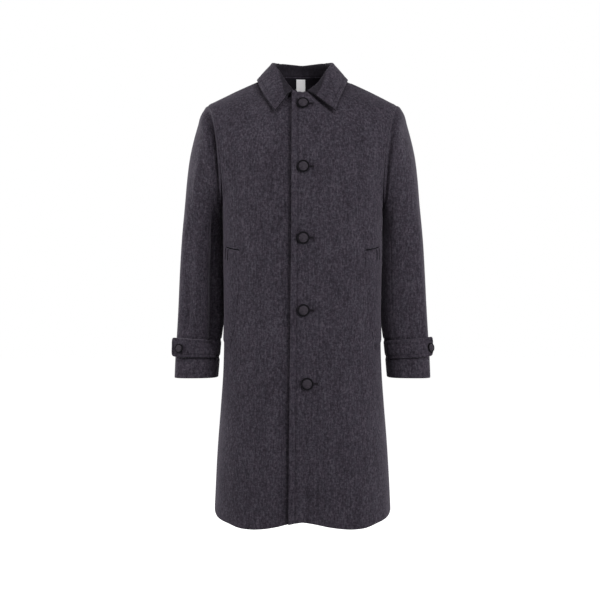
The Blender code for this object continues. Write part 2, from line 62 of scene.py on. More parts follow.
# Body rings: drop below the underarm, half width, front and back depth, squareness
BODY = (
    (0, 190, 142, 125, 2.45), (60, 188.5, 142, 118, 2.45), (118, 187, 141.5, 114, 2.45),
    (202, 185, 143, 113, 2.4), (302, 184, 146, 118, 2.4), (387, 186, 150, 126, 2.4),
    (457, 191, 154, 132, 2.35), (571, 200, 160, 142, 2.35), (700, 207, 165, 150, 2.35),
)

# Hem: way round from the centre (0) to the side seam (1), front and back level
HEM = (
    (0, -1005, -1002), (0.06, -1009, -1002), (0.16, -1016, -1002), (0.3, -1021.5, -1002),
    (0.4, -1022, -1001), (0.57, -1016.5, -1000), (0.73, -1011.5, -998), (0.85, -1004.5, -996),
    (1, -992, -992),
)

# Centre lines: rise (0 underarm, 1 neck), depth y, level z
CENTRE_FRONT = (
    (0, -142, -298), (0.25, -141, -234), (0.5, -135, -168), (0.75, -119, -101), (1, -90, -40),
)
CENTRE_BACK = (
    (0, 125, -298), (0.25, 127, -222), (0.5, 125, -140), (0.75, 109, -55), (1, 73, 31),
)

# Neckline: turn from centre back (0) to centre front (180), x, y, z
NECK = (
    (0, 0, 73, 31), (30, 41, 63, 29.5), (60, 71, 36, 24), (90, 83, -6, 13), (120, 73, -47, -4),
    (150, 43, -78, -28.5), (180, 0, -90, -40),
)
NECK_SHARE = 0.40

# How late the rows bend to the shoulder seam in x, y, z, and how the neck corner softens below it
TOP_PULL = np.array((2.4, 3.0, 1.8))
ARC_REACH = math.radians(58.0)
CORNER_SPREAD = 0.75
CORNER_STEPS = 4

# Soft skirt folds: face, way round, half width, depth at the hem, rise where it starts
SKIRT_FOLDS = (
    ("front", 0, 0.2, -11, -0.45), ("front", 0.62, 0.12, -2.5, -0.55), ("back", 0, 0.22, -5, -0.35),
    ("back", 0.45, 0.16, 4, -0.4),
)

# Front edge past the centre at the top and the hem, and where the under front steps in
EDGE_X = 25
EDGE_X_HEM = 32
DIP_FULL = 0.10
DIP_END = 0.24

# Sleeve rings: part of the way down, outer x y z, inner x y z, front and back depth, bow, squareness
SLEEVE = (
    (0, 223.5, 8, -50, 190, 0, -298, 86, 80, 16, 2),
    (0.04, 232, 8, -57, 192.8, 1, -303, 86, 81, 12, 2),
    (0.08, 241.5, 9, -74, 192.8, 5, -310, 85, 81, 9, 2),
    (0.13, 247.5, 10, -96, 192, 11, -319, 83, 80, 7, 2),
    (0.19, 257, 12, -130, 190.8, 18, -331, 80, 79, 5, 2.05),
    (0.26, 266.5, 14, -172, 189.4, 26, -347, 76, 76, 4, 2.1),
    (0.34, 273.3, 16, -222, 188, 33, -371, 72, 72, 3, 2.15),
    (0.43, 279, 18, -285, 186, 38, -405, 67, 68, 2, 2.2),
    (0.53, 286, 20, -365, 184.5, 40, -455, 63, 63, 0, 2.3),
    (0.63, 290.3, 20, -440, 184.5, 38, -505, 59, 60, 0, 2.4),
    (0.73, 293.5, 18, -518, 186.5, 34, -553, 55, 57, 0, 2.5),
    (0.83, 297, 14, -592, 192.5, 28, -600, 52, 54, 0, 2.65),
    (0.92, 299.5, 8, -645, 197, 20, -647, 50, 51, 0, 2.8),
    (1, 301, 2, -692, 200.5, 13, -692, 49, 50, 0, 2.8),
)
SEAM_TURN = 9 * 180 / 14

# Soft sleeve folds: side, turn (0 outer, 90 front), half width, depth, start, deepest, end
SLEEVE_FOLDS = (
    ("right", 60, 20, -4.5, 0.22, 0.78, 0.9), ("right", 92, 16, 4, 0.22, 0.66, 0.9),
    ("right", 128, 18, -4, 0.22, 0.66, 0.9), ("left", 74, 22, -2.5, 0.3, 0.76, 0.9),
    ("left", 126, 24, 7, 0.2, 0.55, 0.9), ("left", 255, 24, -3.5, 0.35, 0.6, 0.85),
    ("right", 250, 24, -3, 0.35, 0.62, 0.85),
)

# Collar: part of the way from centre back to the front end, stand height, lean, roll, draw toward the centre,
# outer edge x y z
COLLAR = (
    (0, 23, 3, 4, 0, 0, 96, 2), (0.25, 27.5, 6, 3, 0, 66, 82, 2),
    (0.533, 31, 13, 0.5, 0, 106, -3.5, 6), (0.7, 28, 13, 1.5, 5, 95, -50, -24),
    (0.86, 16, 9, 2.5, 6, 80, -92, -58), (1, 3, 3, 1.5, 2, 70, -112, -84),
)
COLLAR_END_SHIFT = {"left": -2, "right": -10}
COLLAR_POINT_SHIFT = {"left": 4.5, "right": 9}
COLLAR_END_TURN = 168.75
FALL_CLEAR = 3
END_CLEAR = 1.8

# Pocket welts: rise, ways round of the front and side edges
WELT = (
    (-0.14, 0.503, 0.765), (-0.25, 0.533, 0.795), (-0.36, 0.588, 0.84), (-0.452, 0.69, 0.915),
)
WELT_TILT = 8

# Cuff straps: parts of the way down of both edges, and the turn where a strap leaves the inner seam
STRAP_TOP = 0.840
STRAP_BOTTOM = 0.917
STRAP_FROM = 140
# Strap ends by side: turn where the end comes free, its reach, drop of both ends, button's way from the end
STRAP_END = {"left": (36, 303, -0.0023, 0.006, 13.5), "right": (50, 304, 0, 0, 24)}
STRAP_WALL = 4
STRAP_CORNER = 5

# Buttons: name, x, z
FRONT_BUTTONS = (
    ("button_1", 1, -64), ("button_2", 1.5, -211), ("button_3", 1.5, -371), ("button_4", 2, -533),
    ("button_5", 10, -697),
)
BUTTON_RADIUS = 14
CUFF_BUTTON_RADIUS = 11
BUTTONHOLE_END = 23.5

# Turned outline of a button as shares of its radius: radius, height
BUTTON_OUTLINE = (
    (0, 0), (0.4, 0), (0.74, 0), (0.94, 0.09), (1, 0.2), (0.97, 0.33), (0.89, 0.39), (0.8, 0.36),
    (0.75, 0.31), (0.66, 0.33), (0.4, 0.38), (0, 0.4),
)

# Neck facing and label inside the back
FACING_RISE = 10 / 14
FACING_WAY = 0.30
FACING_WALL = 1.2
FACING_GAP = 0.95
FACING_BELOW_SEAM = 2
LABEL_X = (-15, 7)
LABEL_Z = (24, -20)
LABEL_WALL = 1

# Sewing: distances inside the edges, and pitch, length and thickness of a stitch
FRONT_STITCH = 14
COLLAR_STITCH = 13
STRAP_STITCH = 8
STITCH_PITCH = 3.6
STITCH_LENGTH = 2.8
THREAD = 0.55


def along(table, at):
    """A table's later columns, smoothly, where its first column is at."""
    rows = np.asarray(table, float)
    key = rows[:, 0]
    val = rows[:, 1:]
    step = np.diff(key)[:, None]
    rate = np.diff(val, axis=0) / step
    slope = np.vstack([rate[:1], 0.5 * (rate[1:] + rate[:-1]), rate[-1:]])
    slope[1:-1][rate[1:] * rate[:-1] <= 0.0] = 0.0
    at = np.clip(np.asarray(at, float), key[0], key[-1])
    i = np.clip(np.searchsorted(key, at, side="right") - 1, 0, len(key) - 2)
    h = step[i]
    t = (at - key[i])[..., None] / h
    start = (1 + 2 * t) * (1 - t) ** 2 * val[i] + t * (1 - t) ** 2 * h * slope[i]
    end = t * t * (3 - 2 * t) * val[i + 1] + t * t * (t - 1) * h * slope[i + 1]
    return start + end


def ease(t):
    """Smooth step from 0 to 1."""
    t = np.clip(t, 0.0, 1.0)
    return t * t * (3 - 2 * t)


def unit(v):
    """Vectors of length one."""
    return v / np.maximum(np.linalg.norm(v, axis=-1, keepdims=True), 1e-9)


def bell(off, half):
    """Soft swell: 1 in its middle, fading out past this half width."""
    return np.exp(-((off / half) ** 2))


def grown(at, first, full, last):
    """Smooth growth from first to full and back to nothing at last."""
    return ease((at - first) / (full - first)) * ease((last - at) / (last - full))


def armhole(turn, sign):
    """Armhole seam on the left: turn 0 shoulder, pi underarm; sign -1 front, 1 back."""
    share = (1 + math.cos(turn)) / 2
    point = UNDERARM + (SHOULDER - UNDERARM) * share
    depth = ARMHOLE_FRONT if sign < 0 else ARMHOLE_BACK
    bow = ARMHOLE_BOW * math.sin(turn) * (1 + 0.3 * math.cos(turn))
    return point + np.array((-bow, sign * depth * math.sin(turn), 0.0))


def arc(a, b, way, reach, power):
    """A row from the centre point a to the side point b on a squared oval."""
    phi = way * reach
    over = (np.sin(phi) / math.sin(reach)) ** (2 / power)
    low = 1 - max(math.cos(reach), 0.0) ** (2 / power)
    back = (1 - np.maximum(np.cos(phi), 0.0) ** (2 / power)) / low
    level = way ** 1.5
    return a + (b - a) * np.stack([over, back, level], axis=-1)


def top_edge(face, way):
    """Neckline and shoulder seam of the wearer's left half."""
    share = np.clip(way / NECK_SHARE, 0.0, 1.0)
    turn = 180.0 - 90.0 * share if face == "front" else 90.0 * share
    neck = along(NECK, turn)
    out = np.clip((way - NECK_SHARE) / (1 - NECK_SHARE), 0.0, 1.0)[..., None]
    point = along(NECK, 90.0)
    seam = point + (SHOULDER - point) * out
    seam = seam + np.array((0.0, 0.0, SHOULDER_BOW)) * np.sin(out * math.pi)
    return np.where(out > 0, seam, neck)


def top_bend(face, side, rise):
    """How far the top edge lies from a plain row, softened below it."""
    centre = CENTRE_FRONT if face == "front" else CENTRE_BACK
    a = np.array((0.0, *along(centre, 1.0)))
    power = along(BODY, 0.0)[3]
    total = 0.0
    weights = 0.0
    for step in range(-CORNER_STEPS, CORNER_STEPS + 1):
        share = step / CORNER_STEPS
        weight = math.exp(-2.5 * share * share)
        at = side + share * CORNER_SPREAD * (1 - rise) ** 0.8 * (1 - side)
        bend = top_edge(face, np.abs(at)) - arc(a, SHOULDER, np.abs(at), ARC_REACH, power)
        bend[..., 0] *= np.sign(at)
        total = total + weight * bend
        weights += weight
    return total / weights


def body_row(face, rise, way):
    """A row: rise -1 hem, 0 underarm, 1 neck; way 0 centre, 1 side, below 0 past the centre."""
    sign = -1.0 if face == "front" else 1.0
    side = np.abs(way)
    if rise <= 0.0:
        width, front, back, power = along(BODY, -rise * SKIRT_DROP)
        depth = front if face == "front" else back
        a = np.array((0.0, sign * depth, 0.0))
        b = np.array((width, 0.0, 0.0))
        points = arc(a, b, side, math.pi / 2, power)
        hem = along(HEM, side)[..., 0 if face == "front" else 1]
        points[..., 2] = UNDERARM[2] - (hem - UNDERARM[2]) * rise
        phi = side * math.pi / 2
        out = np.stack([np.sin(phi), sign * np.cos(phi), 0 * phi], axis=-1)
        for fold_face, place, half, deep, start in SKIRT_FOLDS:
            if fold_face == face and rise < start:
                amount = deep * ease((start - rise) / (start + 1))
                points = points + out * (amount * bell(side - place, half))[..., None]
    else:
        turn = math.pi * (1 - rise)
        centre = CENTRE_FRONT if face == "front" else CENTRE_BACK
        power = along(BODY, 0.0)[3]
        reach = math.pi / 2 + (ARC_REACH - math.pi / 2) * float(ease(rise / 0.45))
        a = np.array((0.0, *along(centre, rise)))
        points = arc(a, armhole(turn, sign), side, reach, power)
        points = points + top_bend(face, side, rise) * rise ** TOP_PULL
    points[..., 0] *= np.where(way < 0, -1.0, 1.0)
    return points


def edge_x(rise):
    """How far past the centre the front edge lies on a row."""
    return EDGE_X + (EDGE_X_HEM - EDGE_X) * np.clip(-rise, 0.0, 1.0)


def edge_way(rise):
    """The same as a way round."""
    fine = np.linspace(0.0, 0.25, 51)
    return float(np.interp(edge_x(rise), body_row("front", rise, fine)[:, 0], fine))


def row_ways(face, rise, fine, near_first):
    """Ways round of a row's grid points, from ways that follow it closely."""
    run = run_of(body_row(face, rise, fine))
    return np.interp(spread(run[-1], near_first, NEAR_SEAM, LINES[face]), run, fine)


def sleeve_point(part, turn, side):
    """Points of the left sleeve: turn 0 outer, 90 front, 180 inner; side picks the folds."""
    row = along(SLEEVE, part)
    outer = row[..., 0:3]
    inner = row[..., 3:6]
    front, back, bow, power = (row[..., k] for k in (6, 7, 8, 9))
    rad = np.radians(turn)
    swing = np.sign(np.sin(rad)) * np.abs(np.sin(rad)) ** (2 / power)
    over = np.sign(np.cos(rad)) * np.abs(np.cos(rad)) ** (2 / power)
    points = inner + (outer - inner) * ((1 + over) / 2)[..., None]
    depth = np.where(swing > 0, front, back)
    points = points + np.stack(
        [-bow * np.abs(swing) * (1 + 0.3 * np.cos(rad)), -depth * swing, 0 * swing], axis=-1
    )
    out = np.stack([np.cos(rad), -np.sin(rad), 0 * rad], axis=-1)
    for fold_side, place, half, deep, start, peak, end in SLEEVE_FOLDS:
        if fold_side == side:
            around = (turn - place + 180.0) % 360.0 - 180.0
            fold = deep * grown(part, start, peak, end) * bell(around, half)
            points = points + out * fold[..., None]
    return points


def grid_normals(grid):
    """Outward direction at each point of a grid."""
    across = np.gradient(grid, axis=1)
    up = np.gradient(grid, axis=0)
    return unit(np.cross(across, up))


def mirrored(grid):
    """The same grid on the other side of the body, still facing out."""
    return (grid * HAND["right"])[:, ::-1]


def run_of(points):
    """Distance covered along a line of points."""
    steps = np.linalg.norm(np.diff(points, axis=0), axis=-1)
    return np.concatenate([np.zeros((1, *steps.shape[1:])), np.cumsum(steps, axis=0)])


def spread(length, near_first, near_last, count):
    """Distances across a piece, closer together near both edges."""
    first = np.asarray(near_first)
    last = length - np.asarray(near_last)[::-1]
    between = np.linspace(first[-1], last[0], count + 2)[1:-1]
    return np.concatenate([first, between, last])


def shares_of(length, near_first, near_last, count):
    """The same as shares of the length."""
    return spread(length, near_first, near_last, count) / length


def on_line(line, at, values=None):
    """Points of a line, or values along it, at some distances."""
    return along(np.column_stack([run_of(line), line if values is None else values]), at)


def respaced(line, near_first, near_last, count):
    """A line of points spread anew."""
    return on_line(line, spread(run_of(line)[-1], near_first, near_last, count))


def flat_of(grid):
    """The grid laid flat: distances across and up."""
    across = run_of(grid.transpose(1, 0, 2)).transpose(1, 0)
    return np.stack([across, run_of(grid)], axis=-1)


def maths(operation, reflected=False):
    """An operator of Shade, as one Math node."""

    def worked(self, other):
        first, second = (other, self) if reflected else (self, other)
        return self.node("ShaderNodeMath", 0, {"operation": operation}, {0: first, 1: second})

    return worked


class Shade:
    """A socket of a node tree: sums on it add Math nodes, and node() adds any other node."""

    __add__, __radd__ = maths("ADD"), maths("ADD", True)
    __sub__, __rsub__ = maths("SUBTRACT"), maths("SUBTRACT", True)
    __mul__, __rmul__ = maths("MULTIPLY"), maths("MULTIPLY", True)

    def __init__(self, tree, socket=None):
        self.tree = tree
        self.socket = socket

    def feed(self, sockets, values):
        """Values or links of some sockets."""
        for key, value in values.items():
            if isinstance(value, Shade):
                self.tree.links.new(value.socket, sockets[key])
            else:
                sockets[key].default_value = value

    def node(self, kind, out=0, settings=None, values=None):
        """A node, its settings first, then the values or links of its sockets."""
        made = self.tree.nodes.new(kind)
        for key, value in (settings or {}).items():
            setattr(made, key, value)
        self.feed(made.inputs, values or {})
        return Shade(self.tree, made.outputs[out])

    def mixed(self, first, second, blend="MIX"):
        """Two colours mixed by this value."""
        settings = {"data_type": "RGBA", "blend_type": blend}
        return self.node("ShaderNodeMix", 2, settings, {0: self, 6: first, 7: second})

    def within(self, low, high):
        """This value stretched from low..high to 0..1, smoothly."""
        values = {"Value": self, "From Min": low, "From Max": high}
        return self.node("ShaderNodeMapRange", 0, {"interpolation_type": "SMOOTHSTEP"}, values)


def noise(place, scale, detail=1.0, rough=0.5, settings=None):
    """Noise over a place."""
    values = {"Vector": place, "Scale": scale, "Detail": detail, "Roughness": rough}
    return place.node("ShaderNodeTexNoise", 0, settings, values)


def mapped(place, change, values):
    """A place scaled or turned."""
    return place.node("ShaderNodeMapping", 0, None, {"Vector": place, change: values})


def grain(place, across, down, detail=1.0, rough=0.5):
    """Noise with its grains this many to the metre across and down."""
    return noise(mapped(place, "Scale", (across, across, down)), 1.0, detail, rough)


def wave(place, scale, distortion, settings=None):
    """Even ribs or rings over a place."""
    values = {"Vector": place, "Scale": scale, "Distortion": distortion, "Detail": 1.0}
    return place.node("ShaderNodeTexWave", 1, settings, values)


def bumped(height, strength, distance):
    """The normal of a surface with these heights."""
    values = {"Strength": strength, "Distance": distance, "Height": height}
    return height.node("ShaderNodeBump", 0, None, values)


def started(name, layer=None):
    """A new material and its place: on a flat layout, or in the object."""
    made = bpy.data.materials.new(name)
    made.use_nodes = True
    start = Shade(made.node_tree)
    if layer:
        return made, start.node("ShaderNodeUVMap", 0, {"uv_map": layer})
    return made, start.node("ShaderNodeTexCoord", "Object")


def finished(made, colour, rough, specular, bump=None, more=None):
    """The material with the values and links of its shader."""
    values = {"Base Color": colour, "Roughness": rough, "Specular IOR Level": specular, **(more or {})}
    if bump:
        values["Normal"] = bump
    Shade(made.node_tree).feed(made.node_tree.nodes["Principled BSDF"].inputs, values)
    return made


# Colours of the wool: fibres, a cooler tint, painted shade for the collar's hidden side, rolled edges and
# stand, and the sheen
WOOL_DARK = (0.017, 0.0135, 0.0195, 1.0)
WOOL_MIDDLE = (0.039, 0.0318, 0.0440, 1.0)
WOOL_LIGHT = (0.074, 0.0635, 0.0815, 1.0)
WOOL_COOL = (0.93, 0.97, 0.96, 1.0)
WOOL_PAINTED_SHADE = (0.007, 0.006, 0.0085, 1.0)
WOOL_SHEEN = (0.84, 0.77, 0.92, 1.0)


def melange_wool(name):
    """Napped wool: dark and light fibres in short upright streaks."""
    made, place = started(name)
    streak = grain(place, 270.0, 115.0)
    weft = grain(place, 165.0, 260.0)
    warp = grain(place, 330.0, 14.0)
    fleck = grain(place, 800.0, 380.0, 2.0, 0.6)
    cloud = grain(place, 40.0, 12.0, 2.0)
    hair = grain(place, 2600.0, 520.0)
    tint = grain(place, 95.0, 60.0)
    tone = 0.5 + (streak - 0.5) * 0.98 + (weft - 0.5) * 0.8 + (fleck - 0.5) * 1.1
    tone = tone + (warp - 0.5) * 0.40 + (cloud - 0.5) * 0.35
    shade = tone.within(0.05, 0.60).mixed(WOOL_DARK, WOOL_MIDDLE)
    shade = tone.within(0.45, 1.00).mixed(shade, WOOL_LIGHT)
    shade = tint.within(0.36, 0.64).mixed(shade, WOOL_COOL, "MULTIPLY")
    shade = (hair.within(0.70, 0.80) * 0.35).mixed(shade, WOOL_LIGHT)
    # Painted shade: the attribute read here turns the wool near black on the collar's hidden side and rolled
    # edges, and darker on the inner face of its stand
    painted_shade = place.node("ShaderNodeAttribute", "Fac", {"attribute_name": "painted_shade"})
    bump = bumped(fleck * 0.6 + hair * 0.4 + streak * 0.5, 0.55, 0.0006)
    sheen = {"Sheen Weight": 0.14, "Sheen Roughness": 0.42, "Sheen Tint": WOOL_SHEEN}
    return finished(made, painted_shade.mixed(shade, WOOL_PAINTED_SHADE), 0.82 + fleck * 0.16, 0.12, bump, sheen)


def dark_facing(name):
    """Fine dark twill that lines the back of the neck."""
    made, place = started(name, "cloth")
    rib = wave(mapped(place, "Rotation", (0.0, 0.0, math.radians(58.0))), 190.0, 0.6)
    cloud = grain(place, 60.0, 40.0, 2.0)
    shade = (rib * 0.55 + cloud * 0.45).mixed((0.004, 0.0032, 0.0052, 1.0), (0.011, 0.0090, 0.0135, 1.0))
    return finished(made, shade, 0.62 + rib * 0.16, 0.10, bumped(rib, 0.4, 0.0003))


def white_tape(name):
    """Plain woven white tape with fine cross ribs."""
    made, place = started(name, "cloth")
    rib = wave(place, 420.0, 0.8, {"bands_direction": "Y"})
    cloud = grain(place, 160.0, 160.0, 3.0, 0.6)
    shade = (rib * 0.6 + cloud * 0.4).mixed((0.88, 0.87, 0.88, 1.0), (0.98, 0.97, 0.98, 1.0))
    return finished(made, shade, 0.55 + cloud * 0.2, 0.3, bumped(rib, 0.5, 0.0002), {"Sheen Weight": 0.1})


def horn(name):
    """Matt dark horn: a paler dished face with streaks and turning marks, and a near-black rim that is partly
    dark horn and partly painted shade round the button.
    """
    made, place = started(name, "face")
    far = place.node("ShaderNodeVectorMath", 1, {"operation": "LENGTH"}, {0: place})
    streak = noise(mapped(place, "Scale", (1.6, 7.0, 1.0)), 1.0, 4.0, 0.6, {"noise_dimensions": "2D"})
    marks = wave(place, 9.0, 0.4, {"wave_type": "RINGS", "rings_direction": "Z"})
    face = streak.within(0.30, 0.72).mixed((0.028, 0.0235, 0.031, 1.0), (0.054, 0.046, 0.057, 1.0))
    # Near-black outside 0.72 of the radius: partly the horn's dark edge, partly painted shade of the gap round
    # the button
    shade = far.within(0.66, 0.78).mixed(face, (0.004, 0.0035, 0.005, 1.0))
    return finished(made, shade, 0.55 + streak * 0.22, 0.07, bumped(marks * 0.5 + streak, 0.25, 0.0002))


def sewing_thread(name, colour):
    """Spun thread, a little uneven."""
    made, place = started(name)
    twist = noise(place, 2200.0, 2.0, 0.6)
    paler = tuple(min(1.0, 2.0 * part) for part in colour[:3]) + (1.0,)
    return finished(made, twist.within(0.3, 0.75).mixed(colour, paler), 0.7 + twist * 0.25, 0.04)


def studio_paper(name):
    """Pale, very slightly uneven floor."""
    made, place = started(name)
    cloud = noise(place, 0.8, 3.0)
    shade = cloud.mixed((0.93, 0.93, 0.93, 1.0), (0.96, 0.96, 0.96, 1.0))
    glow = {"Emission Color": (1.0, 1.0, 1.0, 1.0), "Emission Strength": 0.85}
    return finished(made, shade, 0.95, 0.1, None, glow)


# Distances of grid lines from a free edge, the front edge, a seam, and the edges of small pieces
NEAR_HEM = (0, 2.2, 3.2, 4.8, 7, 10)
NEAR_FRONT = (0, 2.2, 3.2, 5, 7.5, 10, 12, 13.2, 14, 14.8, 16, 18, 21, 25)
NEAR_SEAM = (0, 0.9, 1.8, 3, 4.5, 6.5, 9, 13)
NEAR_STRAP = (0, 2.3, 3.2, 5, 6.6, 7.4, 8, 8.6, 9.4, 11)
NEAR_COLLAR = (0, 2.2, 3.2, 5, 7.5, 10, 11.4, 12.3, 13, 13.7, 14.6, 16)
NEAR_WELT = (0, 1.9, 2.7, 4, 5.5)
NEAR_LABEL = (0, 1, 2)
# Grid lines between those near the edges
LINES = {
    "skirt": 106, "yoke": 84, "front": 60, "back": 96, "sleeve": 150, "top": 46, "under": 22, "collar": 58,
    "fall": 40, "welt": 44, "mouth": 9, "strap": 40, "strap_edge": 4, "label": 8, "label_edge": 16,
}
# Lengths that the grids are spaced by, and degrees round a sleeve and the collar for each millimetre
YOKE_RISE = 320
SLEEVE_LENGTH = 640
SLEEVE_TURN = 0.8
COLLAR_TURN = 0.72
WELT_LENGTH = 225
WELT_WIDTH = 46
STRAP_WIDTH = 45
ROLL_STEPS = 5

# Swell beside a seam by height, distance and half width, half width and depths of the seam's dent, puff of a
# topstitched edge, and depth and half width of its stitches
SEAM_SWELL = (0.4, 8, 4)
SEAM_HALF = 2.2
SEAM_DEEP = {"body": 0.8, "sleeve": 0.3, "armhole": 1}
EDGE_PUFF = 1.1
STITCH_DENT = (1.7, 2.6)

# Depth and half width of the dents at a welt's ends, with their length, beside a strap and round a button
WELT_DENT = (2, 4)
WELT_REACH = 60
STRAP_DENT = (3, 4.5)
BUTTON_DENT = (1.6, 19)
# Depth of the dent under a collar leaf, how far from the leaf's edge it is full, and half widths past that
LEAF_DENT = 3.6
LEAF_UNDER = 4
LEAF_HALVES = (3.5, 4)

# Valley of a sleeve in front of its armhole seam: depth, distance from the seam and half width by side, the
# turn that it faces and half the turn that it covers, and how far from the seam it is full
ARMHOLE_VALLEY = {"left": (10, 8, 9), "right": (20, 14, 15)}
VALLEY_TURN = (84, 62)
VALLEY_FULL = 8

# How the sleeves hang by side: turn, half width, depth, parts of the way down where it starts and is full
SLEEVE_HANG = {"left": (100, 10, -0.5, 0.1, 0.4), "right": (134, 24, 19, 0.08, 0.35)}
HANG_END = 0.90
HANG_FADE = 0.05

# Swell of the sleeves under the arm: turn, half width, height, and parts of the way down
INNER_TURN = 180
INNER_SWELL = (34, 2.4)
INNER_FULL = 0.04
INNER_END = 0.36

# Soft creases of the sleeves: side, turn, half width, depth, and where they start, are deepest and end
SLEEVE_CREASES = (
    ("right", 62, 9, 5.5, 0.58, 0.79, 0.845), ("right", 62, 9, -3.6, 0.08, 0.26, 0.55),
    ("right", 82, 9, -3.8, 0.32, 0.6, 0.845), ("right", 58, 12, 3, 0.9, 0.925, 0.99),
    ("left", 84, 14, 2, 0.6, 0.78, 0.845),
)

# Soft creases on the flat cloth: piece, from across and up, to across and up, half width, depth
CREASES = (
    ("front_left", 286, 716, 208, 640, 17, -2.2), ("front_left", 292, 690, 236, 560, 22, -1.8),
    ("front_right", 18, 712, 92, 630, 17, -2.2), ("front_right", 12, 690, 66, 548, 22, -1.8),
    ("back", 20, 705, 110, 610, 20, -2.6), ("back", 545, 705, 455, 600, 20, -2.6),
)


def far_from(flat, *edges):
    """Distance from the nearest of some edges of the flat cloth."""
    across, up = flat[..., 0], flat[..., 1]
    far = {"first_row": up, "last_row": up[-1:] - up, "first_col": across, "last_col": across[:, -1:] - across}
    return np.min([far[edge] for edge in edges], axis=0)


def seam_dent(flat, edges, deep):
    """How far cloth stands off along seams: a narrow dent with a low swell beside it."""
    high, at, half = SEAM_SWELL
    fars = [far_from(flat, edge) for edge in edges]
    return deep * sum(high * bell(far - at, half) - bell(far, SEAM_HALF) for far in fars)


def stitch_dent(far, inset):
    """How far a topstitched edge stands off: puffed, with a dent at the stitches."""
    deep, half = STITCH_DENT
    return EDGE_PUFF * bell(far - 0.5 * inset, 0.36 * inset) - deep * bell(far - inset, half)


def welt_dent(rises, ways):
    """How far a front sinks at the ends of its welt."""
    deep, half = WELT_DENT
    total = np.zeros(ways.shape)
    for rise, way_front, way_side in (WELT[0], WELT[-1]):
        share = (ways - way_front) / (way_side - way_front)
        off = (rises[:, None] - rise) * SKIRT_DROP - WELT_TILT * np.clip(share, 0.0, 1.0)
        outside = np.maximum(np.abs(share - 0.5) - 0.5, 0.0) * WELT_REACH
        total += deep * bell(off, half) * bell(outside, 3.0)
    return total


def sleeve_dent(side, down, around, flat):
    """How far a sleeve sinks beside its armhole, in its creases and beside its strap."""
    deep, at, half = ARMHOLE_VALLEY[side]
    far = far_from(flat, "first_row")
    faces, covers = VALLEY_TURN
    front = np.exp(-(((around - faces) / covers) ** 4))
    total = deep * bell(far - at, half) * front * ease(far / VALLEY_FULL)
    turn, half, deep, first, full = SLEEVE_HANG[side]
    hung = ease((down - first) / (full - first)) * ease((HANG_END - down) / HANG_FADE)
    total += deep * bell(around - turn, half) * hung
    for hand, turn, half, deep, first, full, last in SLEEVE_CREASES:
        if hand == side:
            total += deep * bell(around - turn, half) * grown(down, first, full, last)
    half, high = INNER_SWELL
    held = ease(down / INNER_FULL) * ease((INNER_END - down) / 0.1)
    total -= high * bell(around - INNER_TURN, half) * held
    deep, half = STRAP_DENT
    covered = ease((around - 30.0) / 20.0) * (1 - ease((around - INNER_TURN) / 40.0))
    for edge in (STRAP_TOP, STRAP_BOTTOM):
        total += deep * bell(np.abs(down - edge) * SLEEVE_LENGTH, half) * covered
    return total


def collar_lines(side, turn):
    """Seam, fold and outer edge of the collar at a turn, the way out, and the fall's roll."""
    hand = HAND[side]
    part = turn / COLLAR_END_TURN
    row = along(COLLAR, part)
    stand, lean, roll, draw = row[:4]
    late = max(part - 0.7, 0.0) / 0.3
    seam = along(NECK, turn) * hand
    edge = row[4:7] * hand + np.array((COLLAR_POINT_SHIFT[side] * late ** 2, 0.0, 0.0))
    out = unit(np.array((math.sin(math.radians(turn)) * hand[0], math.cos(math.radians(turn)), 0.0)))
    shift = np.array((COLLAR_END_SHIFT[side] * late ** 4 - draw * hand[0], 0.0, 0.0))
    return seam, seam - out * lean + UP * stand + shift, edge, out, roll


def on_leaf(turn):
    """From 0 on the collar's back to 1 on its leaves."""
    return ease((turn / COLLAR_END_TURN - 0.6) / 0.16)


def leaf_groove(side, grid):
    """How far a front sinks under the free edge of its collar leaf."""
    line = [collar_lines(side, turn)[2] for turn in np.linspace(0.52, 1.0, 60) * COLLAR_END_TURN]
    point_at = len(line) - 10
    _, throat, point, _, _ = collar_lines(side, COLLAR_END_TURN)
    line += [point + (throat - point) * share for share in np.linspace(0.0, 0.9, 30)]
    far = np.linalg.norm(grid[:, :, None] - np.array(line), axis=-1)
    edges = (far[..., :point_at], far[..., point_at:])
    offs = [np.maximum(edge.min(axis=2) - LEAF_UNDER, 0.0) for edge in edges]
    return LEAF_DENT * np.maximum(*map(bell, offs, LEAF_HALVES))


def button_dent(grid):
    """How far the overlapping front is drawn in round its buttons."""
    deep, half = BUTTON_DENT
    fars = [np.hypot(grid[..., 0] - x, grid[..., 2] - z) for _, x, z in FRONT_BUTTONS]
    return sum(deep * np.exp(-((far / half) ** 4)) for far in fars)


def creased(name, flat):
    """How far the cloth stands off in its listed creases."""
    total = np.zeros(flat.shape[:2])
    for piece, across, up, to_across, to_up, half, deep in CREASES:
        if piece == name:
            start = np.array((across, up))
            path = np.array((to_across, to_up)) - start
            share = np.clip(((flat - start) @ path) / (path @ path), 0.0, 1.0)
            off = np.linalg.norm(flat - start - share[..., None] * path, axis=-1)
            total += deep * bell(off, half) * ease(share / 0.3) * ease((1 - share) / 0.5)
    return total


def uneven(flat, seed, size):
    """Slow unevenness of hanging cloth."""
    chance = np.random.default_rng(seed)
    total = np.zeros(flat.shape[:2])
    for length in (260.0, 170.0, 110.0, 70.0):
        for _ in range(2):
            turn = chance.uniform(-0.9, 0.9)
            slope = flat[..., 0] * math.cos(turn) + 0.6 * flat[..., 1] * math.sin(turn)
            wave_at = 2 * math.pi * slope / length + chance.uniform(0.0, 2 * math.pi)
            total += np.sin(wave_at) * length / 260.0
    return size * total


def calmed(grid, rows, passes):
    """The grid with some rows eased into the rows beside them."""
    eased = grid.copy()
    for _ in range(passes):
        eased[rows] += 0.25 * (eased[rows - 1] + eased[rows + 1] - 2 * eased[rows])
    return eased


def linked(name, data):
    """A new object in the scene."""
    made = bpy.data.objects.new(name, data)
    bpy.context.scene.collection.objects.link(made)
    return made


